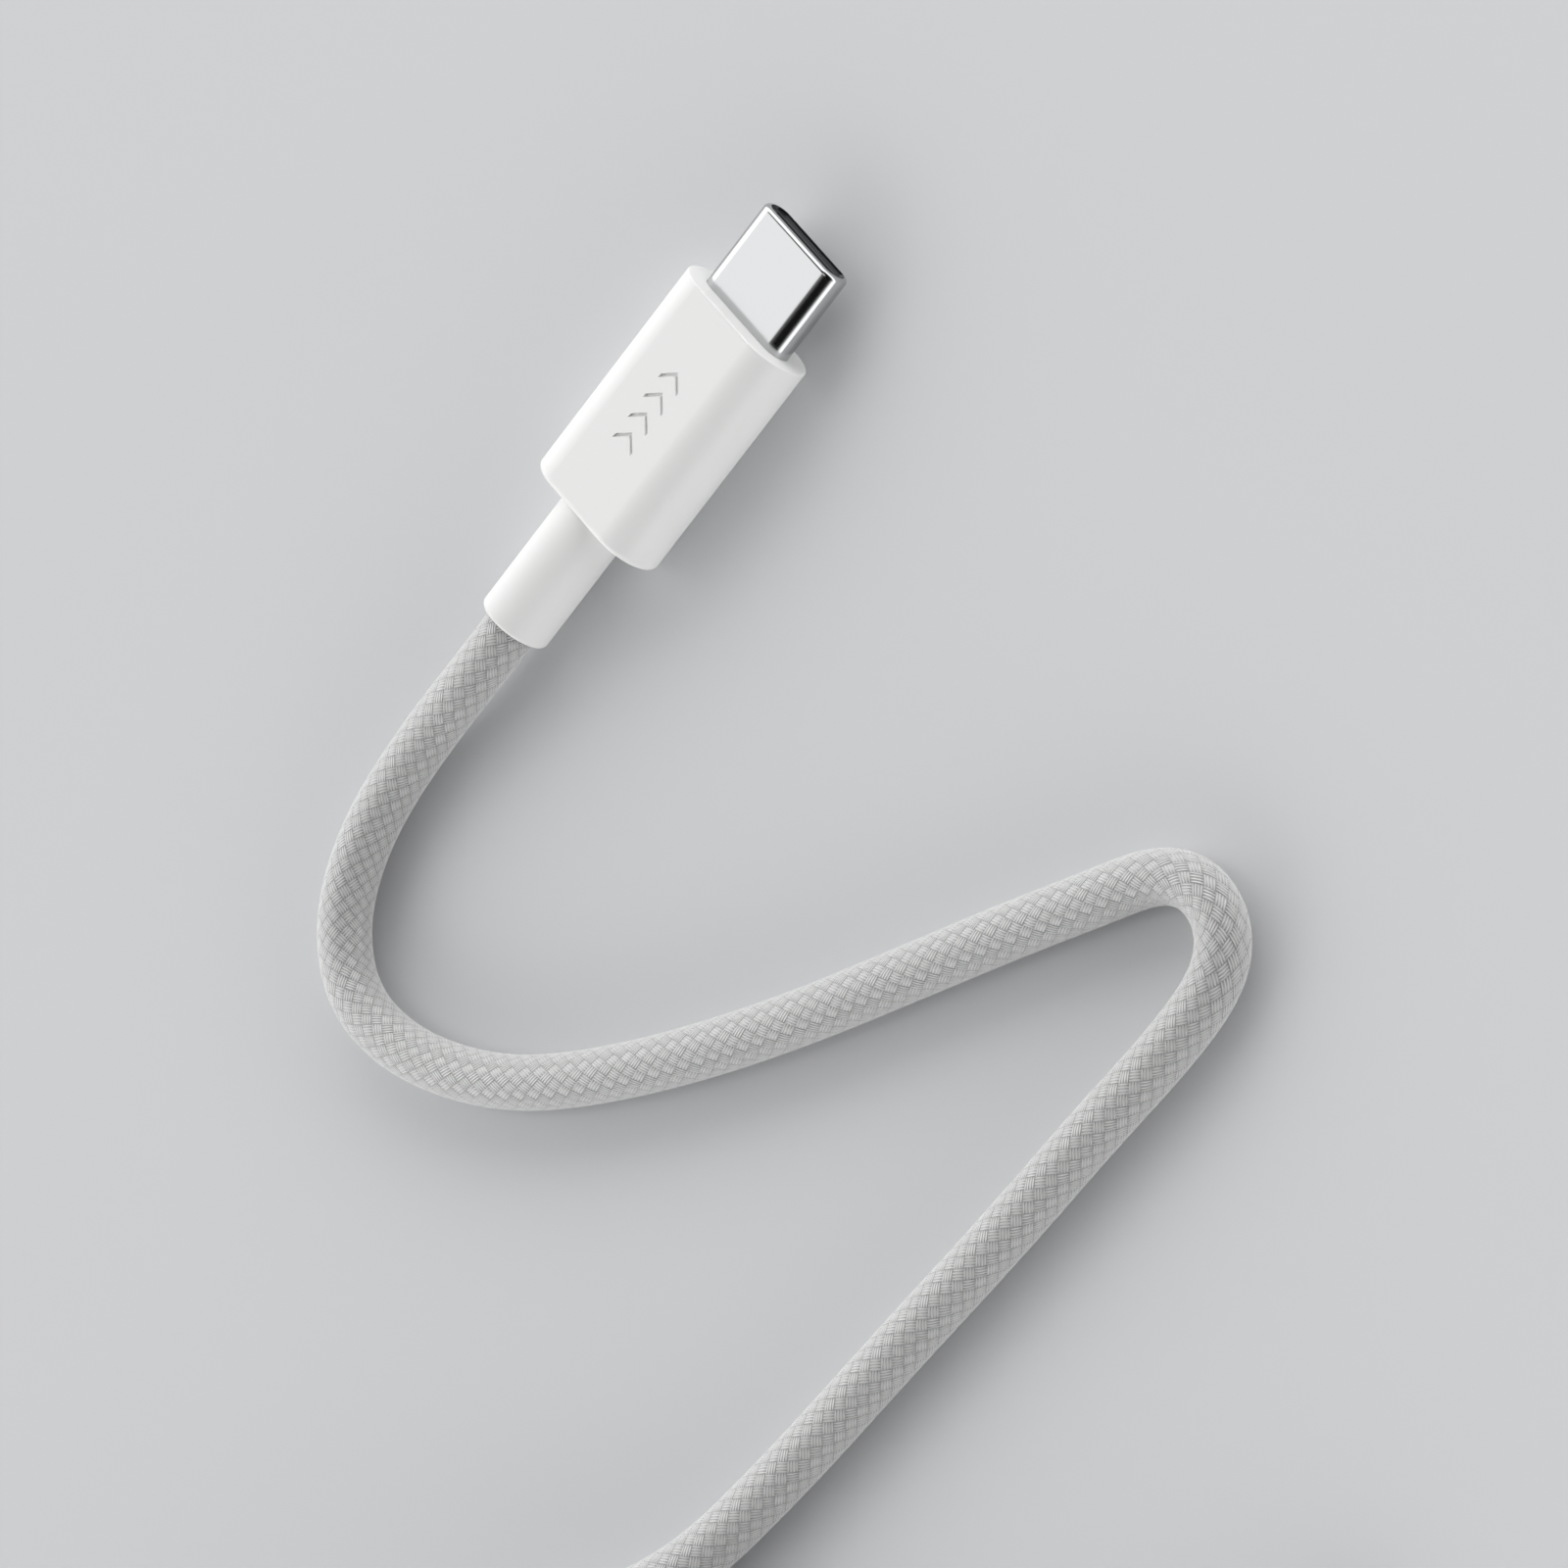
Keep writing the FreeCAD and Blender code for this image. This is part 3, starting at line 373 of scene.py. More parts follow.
# Bleached polyester yarn: white and a little glossy, bright where it catches the light at a low
# angle. Its colour is painted grey where the braid lies low, between the yarns and where a strand
# dives under the next: painted shade. Each strand is four yarns side by side.
braid, braid_shader = new_material("braided_polyester")
STRANDS_EACH_WAY = 12
YARNS_IN_STRAND = 4
BRAID_REPEAT = 1.19 * MM
braid_place = add_node(braid, "ShaderNodeUVMap", {"uv_map": "braid_map"})
braid_split = add_node(braid, "ShaderNodeSeparateXYZ", Vector=braid_place.outputs["UV"])


def maths(material, operation, *values):
    """The output of one maths node."""
    numbered = {f"_{i}": value for i, value in enumerate(values)}
    made = add_node(material, "ShaderNodeMath", {"operation": operation}, **numbered)
    return made.outputs["Value"]


# A strand's shape over one crossing, in shares of the braid's whole relief: how far its middle
# rises over its ends, how far its two sides fall away, and how deep the grooves between its yarns
# are.
STRAND_RISE = 0.28
STRAND_CROWN = 0.3
YARN_RELIEF = 0.42
round_count = maths(braid, "MULTIPLY", braid_split.outputs["X"], STRANDS_EACH_WAY)
along_count = maths(braid, "DIVIDE", braid_split.outputs["Y"], BRAID_REPEAT)
one_way = maths(braid, "ADD", round_count, along_count)
other_way = maths(braid, "SUBTRACT", round_count, along_count)
cell_sum = maths(braid, "ADD", maths(braid, "FLOOR", one_way), maths(braid, "FLOOR", other_way))
# 1 where a strand of the first direction passes over, and 0 where one of the second does.
first_over = maths(braid, "PINGPONG", cell_sum, 1.0)


def strand_height(material, across_way, along_way):
    """How high a strand's surface stands over the one crossing where it lies on top."""
    across = maths(material, "SUBTRACT", maths(material, "FRACT", across_way), 0.5)
    along = maths(material, "SUBTRACT", maths(material, "FRACT", along_way), 0.5)
    wave = maths(material, "COSINE", maths(material, "MULTIPLY", along, math.pi))
    rise = maths(material, "MULTIPLY", wave, STRAND_RISE)
    sideways = maths(material, "MULTIPLY", maths(material, "ABSOLUTE", across), 2.0)
    edge = maths(material, "POWER", sideways, 4.0)
    fall = maths(material, "MULTIPLY", edge, -STRAND_CROWN)
    yarn_turn = maths(material, "MULTIPLY", across, 2 * math.pi * YARNS_IN_STRAND)
    yarn = maths(material, "COSINE", yarn_turn)
    groove = maths(material, "MULTIPLY", maths(material, "ADD", yarn, 1.0), -YARN_RELIEF / 2)
    fallen = maths(material, "ADD", fall, groove)
    return maths(material, "ADD", maths(material, "ADD", rise, fallen), 1 - STRAND_RISE)


first_height = strand_height(braid, one_way, other_way)
second_height = strand_height(braid, other_way, one_way)
braid_mix = add_node(
    braid, "ShaderNodeMix", Factor=first_over, A=second_height, B=first_height
)
braid_height = braid_mix.outputs["Result"]
BRAID_RELIEF = 0.25 * MM
braid_bump = add_node(
    braid,
    "ShaderNodeBump",
    Height=braid_height,
    Strength=1.0,
    Distance=BRAID_RELIEF,
    Filter_Width=0.1,
)
feed(braid, braid_bump.outputs["Normal"], braid_shader.inputs["Normal"])
# The colour follows the braid's height, from dark grey low down to white on top: painted shade in
# the grooves and where a strand dives under the next.
braid_painted_shade = add_node(braid, "ShaderNodeValToRGB", Fac=braid_height)
braid_painted_shade.color_ramp.elements[0].position = 0.35
braid_painted_shade.color_ramp.elements[0].color = linear("#323231")
braid_painted_shade.color_ramp.elements[1].position = 0.8
braid_painted_shade.color_ramp.elements[1].color = linear("#B8B8B6")
feed(braid, braid_painted_shade.outputs["Color"], braid_shader.inputs["Base Color"])
braid_shader.inputs["Roughness"].default_value = 0.38
braid_shader.inputs["Sheen Weight"].default_value = 1.0
braid_shader.inputs["Sheen Roughness"].default_value = 0.8
# The drawn filaments' gloss, strong where they are seen at a low angle. It follows only a part of
# the braid's relief.
GLOSS_FOLLOWS = 0.35
braid_gloss_bump = add_node(
    braid,
    "ShaderNodeBump",
    Height=braid_height,
    Strength=GLOSS_FOLLOWS,
    Distance=BRAID_RELIEF,
    Filter_Width=0.1,
)
feed(braid, braid_gloss_bump.outputs["Normal"], braid_shader.inputs["Coat Normal"])
braid_shader.inputs["Coat Weight"].default_value = 1.0
braid_shader.inputs["Coat Roughness"].default_value = 0.26
braid_shader.inputs["Coat IOR"].default_value = 1.9
woven_cable.data.materials.append(braid)
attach(woven_cable, "cable")
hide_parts("cable_free_run", "cable_coil", "cable_tail")

# The plug's shell: one strip of stainless steel drawn into a flat full-round tube and polished,
# its front edge rolled over to a thin lip round the mouth.

# Points less than this apart are in one place.
SAME_PLACE = 1e-7


def pick(kind, test):
    """Selects those vertices, edges or faces of the mesh in hand that pass a test, and no more."""
    bpy.ops.mesh.select_mode(type=kind)
    bpy.ops.mesh.select_all(action="DESELECT")
    data = bpy.context.object.data
    mesh = bmesh.from_edit_mesh(data)
    for item in {"VERT": mesh.verts, "EDGE": mesh.edges, "FACE": mesh.faces}[kind]:
        if test(item):
            item.select_set(True)
    mesh.select_flush_mode()
    bmesh.update_edit_mesh(data)


def full_round_face(name, sides, width, height, x):
    """A face across the plug at x, half round at its two sides, left in edit mode and selected."""
    bpy.ops.object.select_all(action="DESELECT")
    bpy.ops.mesh.primitive_circle_add(vertices=sides, radius=height / 2, fill_type="NGON")
    made = bpy.context.object
    made.name = name
    # Half a step of turn, so that the two halves part between points, and then upright at x.
    half_step = math.pi / sides
    made.data.transform(Matrix.Rotation(half_step, 4, "Z"))
    made.data.transform(Matrix(((0, 0, 1, x), (1, 0, 0, 0), (0, 1, 0, 0), (0, 0, 0, 1))))
    bpy.ops.object.mode_set(mode="EDIT")
    pick("VERT", lambda v: v.co.y > 0)
    bpy.ops.transform.translate(value=(0, (width - height) / 2, 0))
    pick("VERT", lambda v: v.co.y < 0)
    bpy.ops.transform.translate(value=(0, -(width - height) / 2, 0))
    bpy.ops.mesh.select_all(action="SELECT")
    return made


def at(x):
    """A test for what lies in the plane across the plug at x."""
    return lambda item: all(abs(v.co.x - x) < SAME_PLACE for v in item.verts)


def extrude_along(distance):
    """Extrudes what is selected along the plug, by a distance towards its mouth."""
    bpy.ops.mesh.extrude_region_move(TRANSFORM_OT_translate={"value": (distance, 0, 0)})


def finish_piece(piece, place):
    """Settles the shading, moves the mesh to its place and lets the piece ride."""
    bpy.ops.mesh.select_all(action="SELECT")
    bpy.ops.mesh.remove_doubles(threshold=SAME_PLACE)
    bpy.ops.mesh.normals_make_consistent(inside=False)
    bpy.ops.object.mode_set(mode="OBJECT")
    piece.data.transform(Matrix.Translation(place))
    bpy.ops.object.shade_smooth_by_angle(angle=math.radians(35))
    weigh = piece.modifiers.new("even_faces", "WEIGHTED_NORMAL")
    weigh.keep_sharp = True
    bpy.ops.object.modifier_apply(modifier=weigh.name)
    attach(piece, "cable")


# The wall, how far the lip comes in over the mouth, the round of its edge, how long the lip is,
# and how long the slope behind it.
SHELL_WALL = 0.25 * MM
MOUTH_RIM = 0.37 * MM
SHELL_EDGE = 0.34 * MM
SHELL_LIP = 0.3 * MM
LIP_SLOPE = 0.03 * MM
SHELL_SIDES = 112

steel, steel_shader = new_material("polished_stainless_steel")
steel_shader.inputs["Base Color"].default_value = linear("#BFC0C1")
steel_shader.inputs["Metallic"].default_value = 1.0
steel_shader.inputs["Roughness"].default_value = 0.16
steel_place = add_node(steel, "ShaderNodeTexCoord")
# Drawing lines along the tube: how far apart they are, and how many times as long.
DRAW_LINE = 0.05 * MM
DRAW_STRETCH = 20
steel_stretch = add_node(
    steel,
    "ShaderNodeMapping",
    Vector=steel_place.outputs["Object"],
    Scale=(1 / (DRAW_STRETCH * DRAW_LINE), 1 / DRAW_LINE, 1 / DRAW_LINE),
)
steel_lines = add_node(
    steel,
    "ShaderNodeTexNoise",
    Vector=steel_stretch.outputs["Vector"],
    Scale=1.0,
    Detail=2.0,
)
steel_bump = add_node(
    steel,
    "ShaderNodeBump",
    Height=steel_lines.outputs["Fac"],
    Strength=0.05,
    Distance=0.004 * MM,
)
feed(steel, steel_bump.outputs["Normal"], steel_shader.inputs["Normal"])

for end in ("near", "far"):
    low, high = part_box(f"{end}_plug_shell")
    middle = (low + high) / 2
    width = high.y - low.y
    height = high.z - low.z
    rear = low.x
    tip = high.x
    shell = full_round_face(f"{end}_steel_shell", SHELL_SIDES, width, height, rear)
    extrude_along(tip - rear)
    pick("EDGE", at(tip))
    bpy.ops.mesh.bevel(offset=SHELL_EDGE, segments=7, affect="EDGES")
    pick("FACE", at(tip))
    bpy.ops.mesh.inset(thickness=MOUTH_RIM - SHELL_EDGE, depth=0)
    extrude_along(-SHELL_LIP)
    # Behind the lip the inside widens from the mouth's outline to the wall's.
    extrude_along(-LIP_SLOPE)
    behind_lip = tip - SHELL_LIP - LIP_SLOPE
    widen = (height / 2 - SHELL_WALL) / (height / 2 - MOUTH_RIM)
    for sign in (1, -1):
        pick("VERT", lambda v: abs(v.co.x - behind_lip) < SAME_PLACE and v.co.y * sign > 0)
        round_middle = (0, sign * (width - height) / 2, 0)
        bpy.ops.transform.resize(value=(1, widen, widen), center_override=round_middle)
    pick("FACE", at(behind_lip))
    extrude_along(rear - behind_lip)
    pick("FACE", at(rear))
    bpy.ops.mesh.delete(type="ONLY_FACE")
    pick("EDGE", at(rear))
    bpy.ops.mesh.bridge_edge_loops()
    finish_piece(shell, (0, middle.y, middle.z))
    shell.data.materials.append(steel)
    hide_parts(f"{end}_plug_shell")

# The housing: white polycarbonate and ABS moulded in one piece over everything behind the shell,
# in a lightly blasted mould, with a row of plain chevrons engraved in its top.

plastic, plastic_shader = new_material("moulded_white_plastic")
plastic_shader.inputs["Base Color"].default_value = linear("#F1F1F0")
plastic_shader.inputs["Roughness"].default_value = 0.42
plastic_shader.inputs["IOR"].default_value = 1.52
plastic_place = add_node(plastic, "ShaderNodeTexCoord")
BLAST_GRAIN = 0.09 * MM
plastic_grain = add_node(
    plastic,
    "ShaderNodeTexNoise",
    Vector=plastic_place.outputs["Object"],
    Scale=1 / BLAST_GRAIN,
    Detail=3.0,
)
plastic_bump = add_node(
    plastic,
    "ShaderNodeBump",
    Height=plastic_grain.outputs["Fac"],
    Strength=0.12,
    Distance=0.006 * MM,
)
feed(plastic, plastic_bump.outputs["Normal"], plastic_shader.inputs["Normal"])

HOUSING_SIDES = 128
REAR_ROUND = 0.48 * MM
FRONT_ROUND = 0.15 * MM
# The fine gap round the shell and round the strain relief, where they come out of the housing.
SEAM = 0.015 * MM
SEAM_DEPTH = 0.35 * MM
SEAM_SIDES = 64
# The row of chevrons starts this far behind the housing's front and runs towards it.
MARK_START = 11.3 * MM
MARK_PITCH = 1.7 * MM
MARK_WIDTH = 2.0 * MM
MARK_LENGTH = 0.9 * MM
MARK_STROKE = 0.32 * MM
MARK_DEPTH = 0.2 * MM
CHEVRONS = 4


def prism(name, corners, low, high):
    """A block with a flat outline, from one height to another."""
    mesh = bmesh.new()
    base = [mesh.verts.new((x, y, low)) for x, y in corners]
    top = [mesh.verts.new((x, y, high)) for x, y in corners]
    mesh.faces.new(reversed(base))
    mesh.faces.new(top)
    for i in range(len(corners)):
        j = (i + 1) % len(corners)
        mesh.faces.new((base[i], base[j], top[j], top[i]))
    bmesh.ops.recalc_face_normals(mesh, faces=mesh.faces)
    data = bpy.data.meshes.new(name)
    mesh.to_mesh(data)
    mesh.free()
    made = bpy.data.objects.new(name, data)
    bpy.context.scene.collection.objects.link(made)
    return made


def full_round_bar(name, width, height, x):
    """A closed bar along the plug, twice as long as the seam is deep, to cut the seam with."""
    made = full_round_face(name, SEAM_SIDES, width, height, x)
    extrude_along(2 * SEAM_DEPTH)
    bpy.ops.mesh.select_all(action="SELECT")
    bpy.ops.mesh.normals_make_consistent(inside=False)
    bpy.ops.object.mode_set(mode="OBJECT")
    return made


def carve(piece, cutters):
    """Cuts each cutter out of the piece and removes it."""
    for cutter in cutters:
        cutting = piece.modifiers.new("cut", "BOOLEAN")
        cutting.object = cutter
        cutting.operation = "DIFFERENCE"
        cutting.solver = "EXACT"
        bpy.context.view_layer.objects.active = piece
        bpy.ops.object.modifier_apply(modifier=cutting.name)
        bpy.data.objects.remove(cutter)


for end in ("near", "far"):
    low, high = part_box(f"{end}_housing")
    middle = (low + high) / 2
    width = high.y - low.y
    height = high.z - low.z
    housing = full_round_face(f"{end}_white_housing", HOUSING_SIDES, width, height, low.x)
    extrude_along(high.x - low.x)
    pick("EDGE", at(low.x))
    bpy.ops.mesh.bevel(offset=REAR_ROUND, segments=8, affect="EDGES")
    pick("EDGE", at(high.x))
    bpy.ops.mesh.bevel(offset=FRONT_ROUND, segments=4, affect="EDGES")
    bpy.ops.mesh.select_all(action="SELECT")
    bpy.ops.mesh.normals_make_consistent(inside=False)
    bpy.ops.object.mode_set(mode="OBJECT")

    cutters = []
    for number in range(CHEVRONS):
        back = high.x - MARK_START + number * MARK_PITCH
        corners = [
            (back, -MARK_WIDTH / 2),
            (back + MARK_STROKE, -MARK_WIDTH / 2),
            (back + MARK_STROKE + MARK_LENGTH, 0),
            (back + MARK_STROKE, MARK_WIDTH / 2),
            (back, MARK_WIDTH / 2),
            (back + MARK_LENGTH, 0),
        ]
        cutters.append(prism("chevron", corners, height / 2 - MARK_DEPTH, height))
    shell_low, shell_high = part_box(f"{end}_plug_shell")
    shell_width = shell_high.y - shell_low.y + 2 * SEAM
    shell_height = shell_high.z - shell_low.z + 2 * SEAM
    cutters.append(full_round_bar("window", shell_width, shell_height, high.x - SEAM_DEPTH))
    relief_low, relief_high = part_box(f"{end}_strain_relief")
    relief_reach = (relief_high.z - relief_low.z) / 2 + SEAM
    cutters.append(full_round_bar("hole", 2 * relief_reach, 2 * relief_reach, low.x - SEAM_DEPTH))
    bpy.ops.object.select_all(action="DESELECT")
    housing.select_set(True)
    bpy.context.view_layer.objects.active = housing
    carve(housing, cutters)
    bpy.ops.object.mode_set(mode="EDIT")
    finish_piece(housing, (0, middle.y, middle.z))
    housing.data.materials.append(plastic)
    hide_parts(f"{end}_housing")

# The strain relief: a soft white elastomer sleeve moulded round the cable, plain outside, with a
# small round at its rear rim. Its flange is locked inside the housing.

elastomer, elastomer_shader = new_material("soft_white_elastomer")
elastomer_shader.inputs["Base Color"].default_value = linear("#EFEFEE")
elastomer_shader.inputs["Roughness"].default_value = 0.5
elastomer_shader.inputs["IOR"].default_value = 1.5
elastomer_place = add_node(elastomer, "ShaderNodeTexCoord")
elastomer_grain = add_node(
    elastomer,
    "ShaderNodeTexNoise",
    Vector=elastomer_place.outputs["Object"],
    Scale=1 / BLAST_GRAIN,
    Detail=3.0,
)
elastomer_bump = add_node(
    elastomer,
    "ShaderNodeBump",
    Height=elastomer_grain.outputs["Fac"],
    Strength=0.15,
    Distance=0.008 * MM,
)
feed(elastomer, elastomer_bump.outputs["Normal"], elastomer_shader.inputs["Normal"])

RELIEF_SIDES = 96
RELIEF_ROUND = 0.32 * MM
BORE_ROOM = 0.04 * MM
RELIEF_BORE = CABLE_DIAMETER + BORE_ROOM
BORE_DEPTH = RELIEF_ROUND * 4
# The relief starts inside the housing, just short of the seam's bottom.
RELIEF_START = SEAM_DEPTH * 0.9
for end in ("near", "far"):
    low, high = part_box(f"{end}_strain_relief")
    middle = (low + high) / 2
    across = high.z - low.z
    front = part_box(f"{end}_housing")[0].x + RELIEF_START
    relief = full_round_face(f"{end}_soft_relief", RELIEF_SIDES, across, across, front)
    extrude_along(low.x - front)
    pick("EDGE", at(low.x))
    bpy.ops.mesh.bevel(offset=RELIEF_ROUND, segments=6, affect="EDGES")
    pick("FACE", at(low.x))
    bpy.ops.mesh.inset(thickness=across / 2 - RELIEF_ROUND - RELIEF_BORE / 2, depth=0)
    extrude_along(BORE_DEPTH)
    finish_piece(relief, (0, middle.y, middle.z))
    relief.data.materials.append(elastomer)
    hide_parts(f"{end}_strain_relief")

# Everything inside keeps its own solid and gets the finish of what it is made of: glass-filled
# black nylon, gold-plated contacts, stamped spring steel, a coated board with its parts, wires in
# coloured insulation, and the plain filling moulded round them.

# How much lighter and darker than its own colour a finish is from grain to grain.
GRAIN_SPREAD = 0.06


def grained(name, colour, roughness, grain_mm, relief_mm, metallic=0.0):
    """A finish with a fine grain, both in its surface and in how light or dark it is."""
    made, shader = new_material(name)
    shader.inputs["Metallic"].default_value = metallic
    shader.inputs["Roughness"].default_value = roughness
    place = add_node(made, "ShaderNodeTexCoord")
    grain = add_node(
        made,
        "ShaderNodeTexNoise",
        Vector=place.outputs["Object"],
        Scale=1 / (grain_mm * MM),
        Detail=3.0,
    )
    shade = add_node(made, "ShaderNodeValToRGB", Fac=grain.outputs["Fac"])
    base = linear(colour)
    for element, factor in zip(shade.color_ramp.elements, (1 - GRAIN_SPREAD, 1 + GRAIN_SPREAD)):
        element.color = (*(min(1.0, c * factor) for c in base[:3]), 1.0)
    feed(made, shade.outputs["Color"], shader.inputs["Base Color"])
    bump = add_node(
        made,
        "ShaderNodeBump",
        Height=grain.outputs["Fac"],
        Strength=0.3,
        Distance=relief_mm * MM,
    )
    feed(made, bump.outputs["Normal"], shader.inputs["Normal"])
    return made


# After its colour, each finish has its roughness, and its grain's size and height in millimetres.
inner_finishes = {
    grained("glass_filled_nylon", "#3B3C3E", 0.55, 0.08, 0.006): ["contact_housing"],
    grained("gold_plate", "#D9AE62", 0.22, 0.1, 0.002, metallic=1.0): [
        "upper_contacts",
        "lower_contacts",
    ],
    grained("stamped_spring_steel", "#A9ABAD", 0.3, 0.12, 0.003, metallic=1.0): [
        "ground_plate",
        "left_latch",
        "right_latch",
        "ground_springs",
        "upper_shield",
        "lower_shield",
        "crimp_ferrule",
    ],
    grained("coated_board", "#1F5A3A", 0.4, 0.3, 0.01): ["circuit_board"],
    grained("chip_resin", "#1B1B1D", 0.6, 0.06, 0.004): ["marker_chip"],
    grained("fired_ceramic", "#A98B68", 0.5, 0.08, 0.004): ["capacitors"],
    grained("red_insulation", "#B3211D", 0.45, 0.15, 0.005): ["power_wire"],
    grained("black_insulation", "#18181A", 0.45, 0.15, 0.005): ["ground_wire"],
    grained("white_insulation", "#DCDCDA", 0.45, 0.15, 0.005): ["signal_wires"],
    grained("filling_plastic", "#CFCFCC", 0.55, 0.1, 0.006): ["inner_mould"],
    grained("sleeve_and_jacket", "#BDBDBB", 0.7, 0.24, 0.03): ["cable_end"],
}
for finish, pieces in inner_finishes.items():
    for end in ("near", "far"):
        for piece in pieces:
            materials = nodes[f"{end}_{piece}"].data.materials
            materials.clear()
            materials.append(finish)

# The tie: one length of flat hook-and-loop strap, woven with a soft loop face. It goes round all
# the turns, and its end is pressed down over its own beginning on top.

STRAP_THICK = 0.8 * MM
STRAP_WIDTH = 8.0 * MM
STRAP_ROOM = 0.1 * MM
STRAP_TURN = math.radians(205.0)
# The strap spans the turns that lie under its width, and no cable farther than this from the
# coil's middle.
COIL_REACH = 40.0 * MM
strap_back = Matrix.Rotation(-STRAP_TURN, 3, "Z")
half_span = (STRAP_WIDTH + CABLE_DIAMETER) / 2
under_strap = []
for point in cable_path:
    local = strap_back @ (point - coil_centre)
    if local.x > 0 and abs(local.y) < half_span and local.length < COIL_REACH:
        under_strap.append(local.x)
inner_side = min(under_strap) - CABLE_DIAMETER / 2 - STRAP_ROOM
outer_side = max(under_strap) + CABLE_DIAMETER / 2 + STRAP_ROOM
strap_top = 2 * (STRAP_THICK + STRAP_ROOM + CABLE_DIAMETER) + TURN_GAP
STRAP_ROUND = 1.8 * MM
STRAP_LAP = 6.0 * MM
LAP_CLIMB = 1.6 * MM
CORNER_STEPS = 8
CLIMB_STEPS = 6

# The strap's middle line in its own plane: from its beginning under the lap, once round the turns
# and up over that beginning.
strap_left = inner_side - STRAP_THICK / 2
strap_right = outer_side + STRAP_THICK / 2
lap_start = (strap_left + strap_right + STRAP_LAP) / 2
on_turns = strap_top - STRAP_THICK / 2
middle_line = [(lap_start, on_turns)]
round_centres = (
    (strap_left + STRAP_ROUND, on_turns - STRAP_ROUND),
    (strap_left + STRAP_ROUND, STRAP_THICK / 2 + STRAP_ROUND),
    (strap_right - STRAP_ROUND, STRAP_THICK / 2 + STRAP_ROUND),
    (strap_right - STRAP_ROUND, on_turns - STRAP_ROUND),
)
for corner, (x, z) in enumerate(round_centres):
    for k in range(CORNER_STEPS + 1):
        angle = math.pi / 2 * (corner + 1 + k / CORNER_STEPS)
        middle_line.append((x + STRAP_ROUND * math.cos(angle), z + STRAP_ROUND * math.sin(angle)))
for k in range(CLIMB_STEPS + 1):
    share = k / CLIMB_STEPS
    climbed = STRAP_THICK * share * share * (3 - 2 * share)
    middle_line.append((lap_start + LAP_CLIMB * (1 - share), on_turns + climbed))
middle_line.append((lap_start - STRAP_LAP, on_turns + STRAP_THICK))

strap_mesh = bmesh.new()
strap_map = strap_mesh.loops.layers.uv.new("strap_map")
ACROSS_STEPS = 10
strap_length = 0.0
rows = []
reaches = []
for i, (x, z) in enumerate(middle_line):
    if i:
        strap_length += math.dist(middle_line[i - 1], middle_line[i])
    reaches.append(strap_length)
    row = []
    for k in range(ACROSS_STEPS + 1):
        row.append(strap_mesh.verts.new((x, STRAP_WIDTH * (k / ACROSS_STEPS - 0.5), z)))
    rows.append(row)
for i, (row, next_row) in enumerate(zip(rows, rows[1:])):
    for k in range(ACROSS_STEPS):
        face = strap_mesh.faces.new((row[k], next_row[k], next_row[k + 1], row[k + 1]))
        face.smooth = True
        corners = ((i, k), (i + 1, k), (i + 1, k + 1), (i, k + 1))
        for loop, (row_number, column) in zip(face.loops, corners):
            loop[strap_map].uv = (reaches[row_number], STRAP_WIDTH * column / ACROSS_STEPS)
strap_data = bpy.data.meshes.new("hook_and_loop_strap")
strap_mesh.to_mesh(strap_data)
strap_mesh.free()
strap = bpy.data.objects.new("hook_and_loop_strap", strap_data)
bpy.context.scene.collection.objects.link(strap)
bpy.ops.object.select_all(action="DESELECT")
strap.select_set(True)
bpy.context.view_layer.objects.active = strap
bpy.ops.object.mode_set(mode="EDIT")
bpy.ops.mesh.select_all(action="SELECT")
bpy.ops.mesh.normals_make_consistent(inside=False)
bpy.ops.object.mode_set(mode="OBJECT")
thicken = strap.modifiers.new("thickness", "SOLIDIFY")
thicken.thickness = STRAP_THICK
thicken.offset = 0.0
bpy.ops.object.modifier_apply(modifier=thicken.name)
soften = strap.modifiers.new("soft_edges", "BEVEL")
soften.width = 0.18 * MM
soften.segments = 2
soften.limit_method = "ANGLE"
bpy.ops.object.modifier_apply(modifier=soften.name)
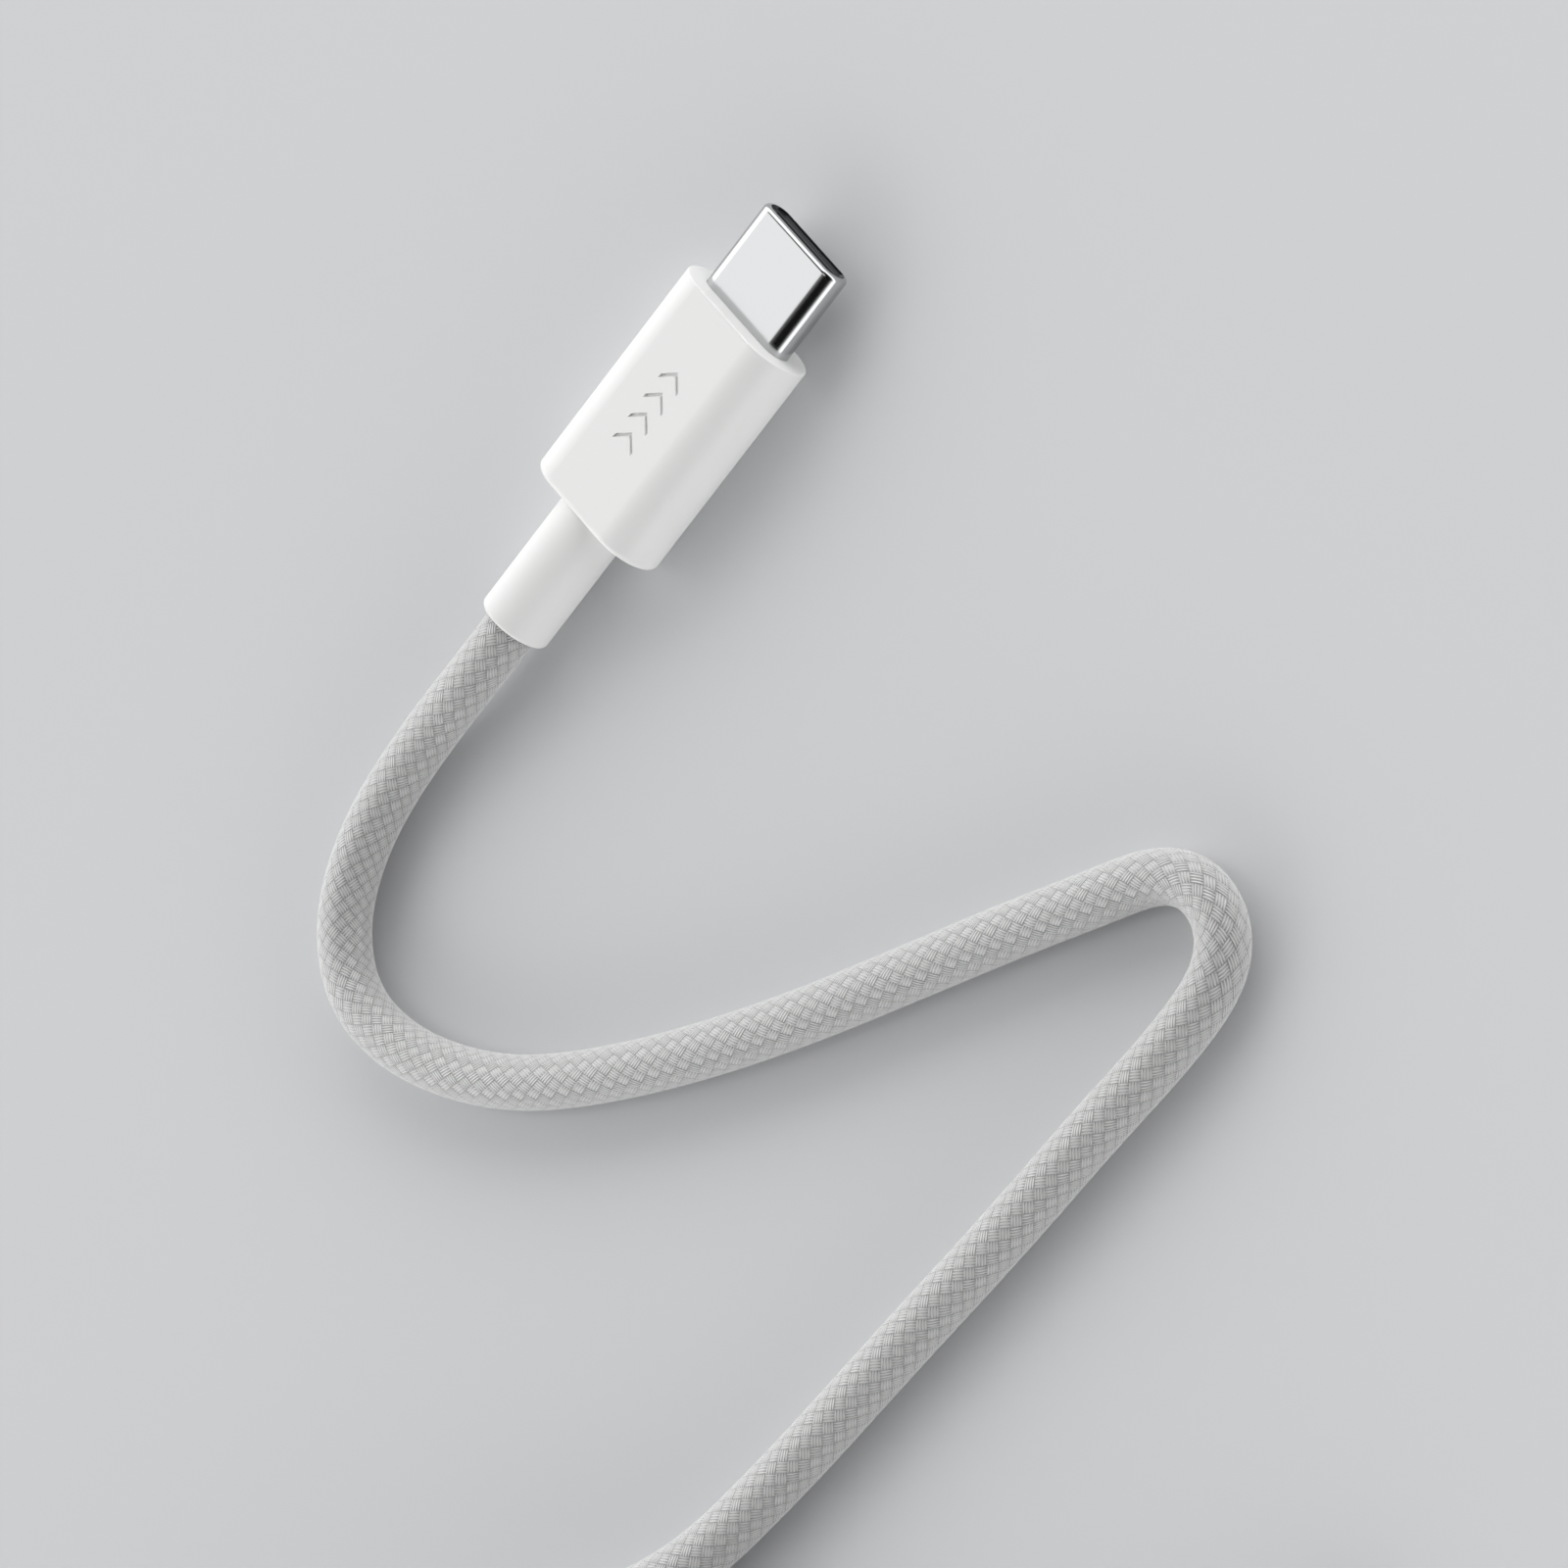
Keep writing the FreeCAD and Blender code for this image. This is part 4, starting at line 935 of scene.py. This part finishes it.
strap_place = Matrix.Translation(Vector((coil_centre.x, coil_centre.y, 0)))
strap.data.transform(strap_place @ Matrix.Rotation(STRAP_TURN, 4, "Z"))

webbing, webbing_shader = new_material("hook_and_loop_webbing")
RIB_PITCH = 0.55 * MM
PILE_GRAIN = 0.18 * MM
# At scale 1 the wave texture's bands lie this far apart.
WAVE_PITCH = math.pi / 10
webbing_place = add_node(webbing, "ShaderNodeUVMap", {"uv_map": "strap_map"})
webbing_ribs = add_node(
    webbing,
    "ShaderNodeTexWave",
    {"wave_type": "BANDS", "bands_direction": "X"},
    Vector=webbing_place.outputs["UV"],
    Scale=WAVE_PITCH / RIB_PITCH,
    Distortion=1.5,
    Detail=2.0,
)
webbing_pile = add_node(
    webbing,
    "ShaderNodeTexNoise",
    Vector=webbing_place.outputs["UV"],
    Scale=1 / PILE_GRAIN,
    Detail=4.0,
)
rib_height = maths(webbing, "MULTIPLY", webbing_ribs.outputs["Fac"], 0.5)
webbing_height = maths(webbing, "ADD", rib_height, webbing_pile.outputs["Fac"])
webbing_bump = add_node(
    webbing,
    "ShaderNodeBump",
    Height=webbing_height,
    Strength=0.8,
    Distance=0.12 * MM,
)
feed(webbing, webbing_bump.outputs["Normal"], webbing_shader.inputs["Normal"])
# The colour is darker where the ribs and pile lie lower: painted shade in the grooves between the
# ribs, together with the pile's random tone.
webbing_tone_and_painted_shade = add_node(webbing, "ShaderNodeValToRGB", Fac=webbing_height)
webbing_tone_and_painted_shade.color_ramp.elements[0].color = linear("#B9B9B8")
webbing_tone_and_painted_shade.color_ramp.elements[1].color = linear("#E9E9E8")
feed(webbing, webbing_tone_and_painted_shade.outputs["Color"], webbing_shader.inputs["Base Color"])
webbing_shader.inputs["Roughness"].default_value = 0.85
webbing_shader.inputs["Sheen Weight"].default_value = 0.3
strap.data.materials.append(webbing)
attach(strap, "cable")
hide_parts("coil_tie")

# The cord's facts, once every piece on it is made: the cable leaves the near plug's strain relief,
# and the strap and the whole far plug are the pieces on it.

far_pieces = [strap]
for name, node in nodes.items():
    if name.startswith("far_") and not node.hide_render:
        far_pieces.append(name)
far_pieces += ["far_steel_shell", "far_white_housing", "far_soft_relief"]

low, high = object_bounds()
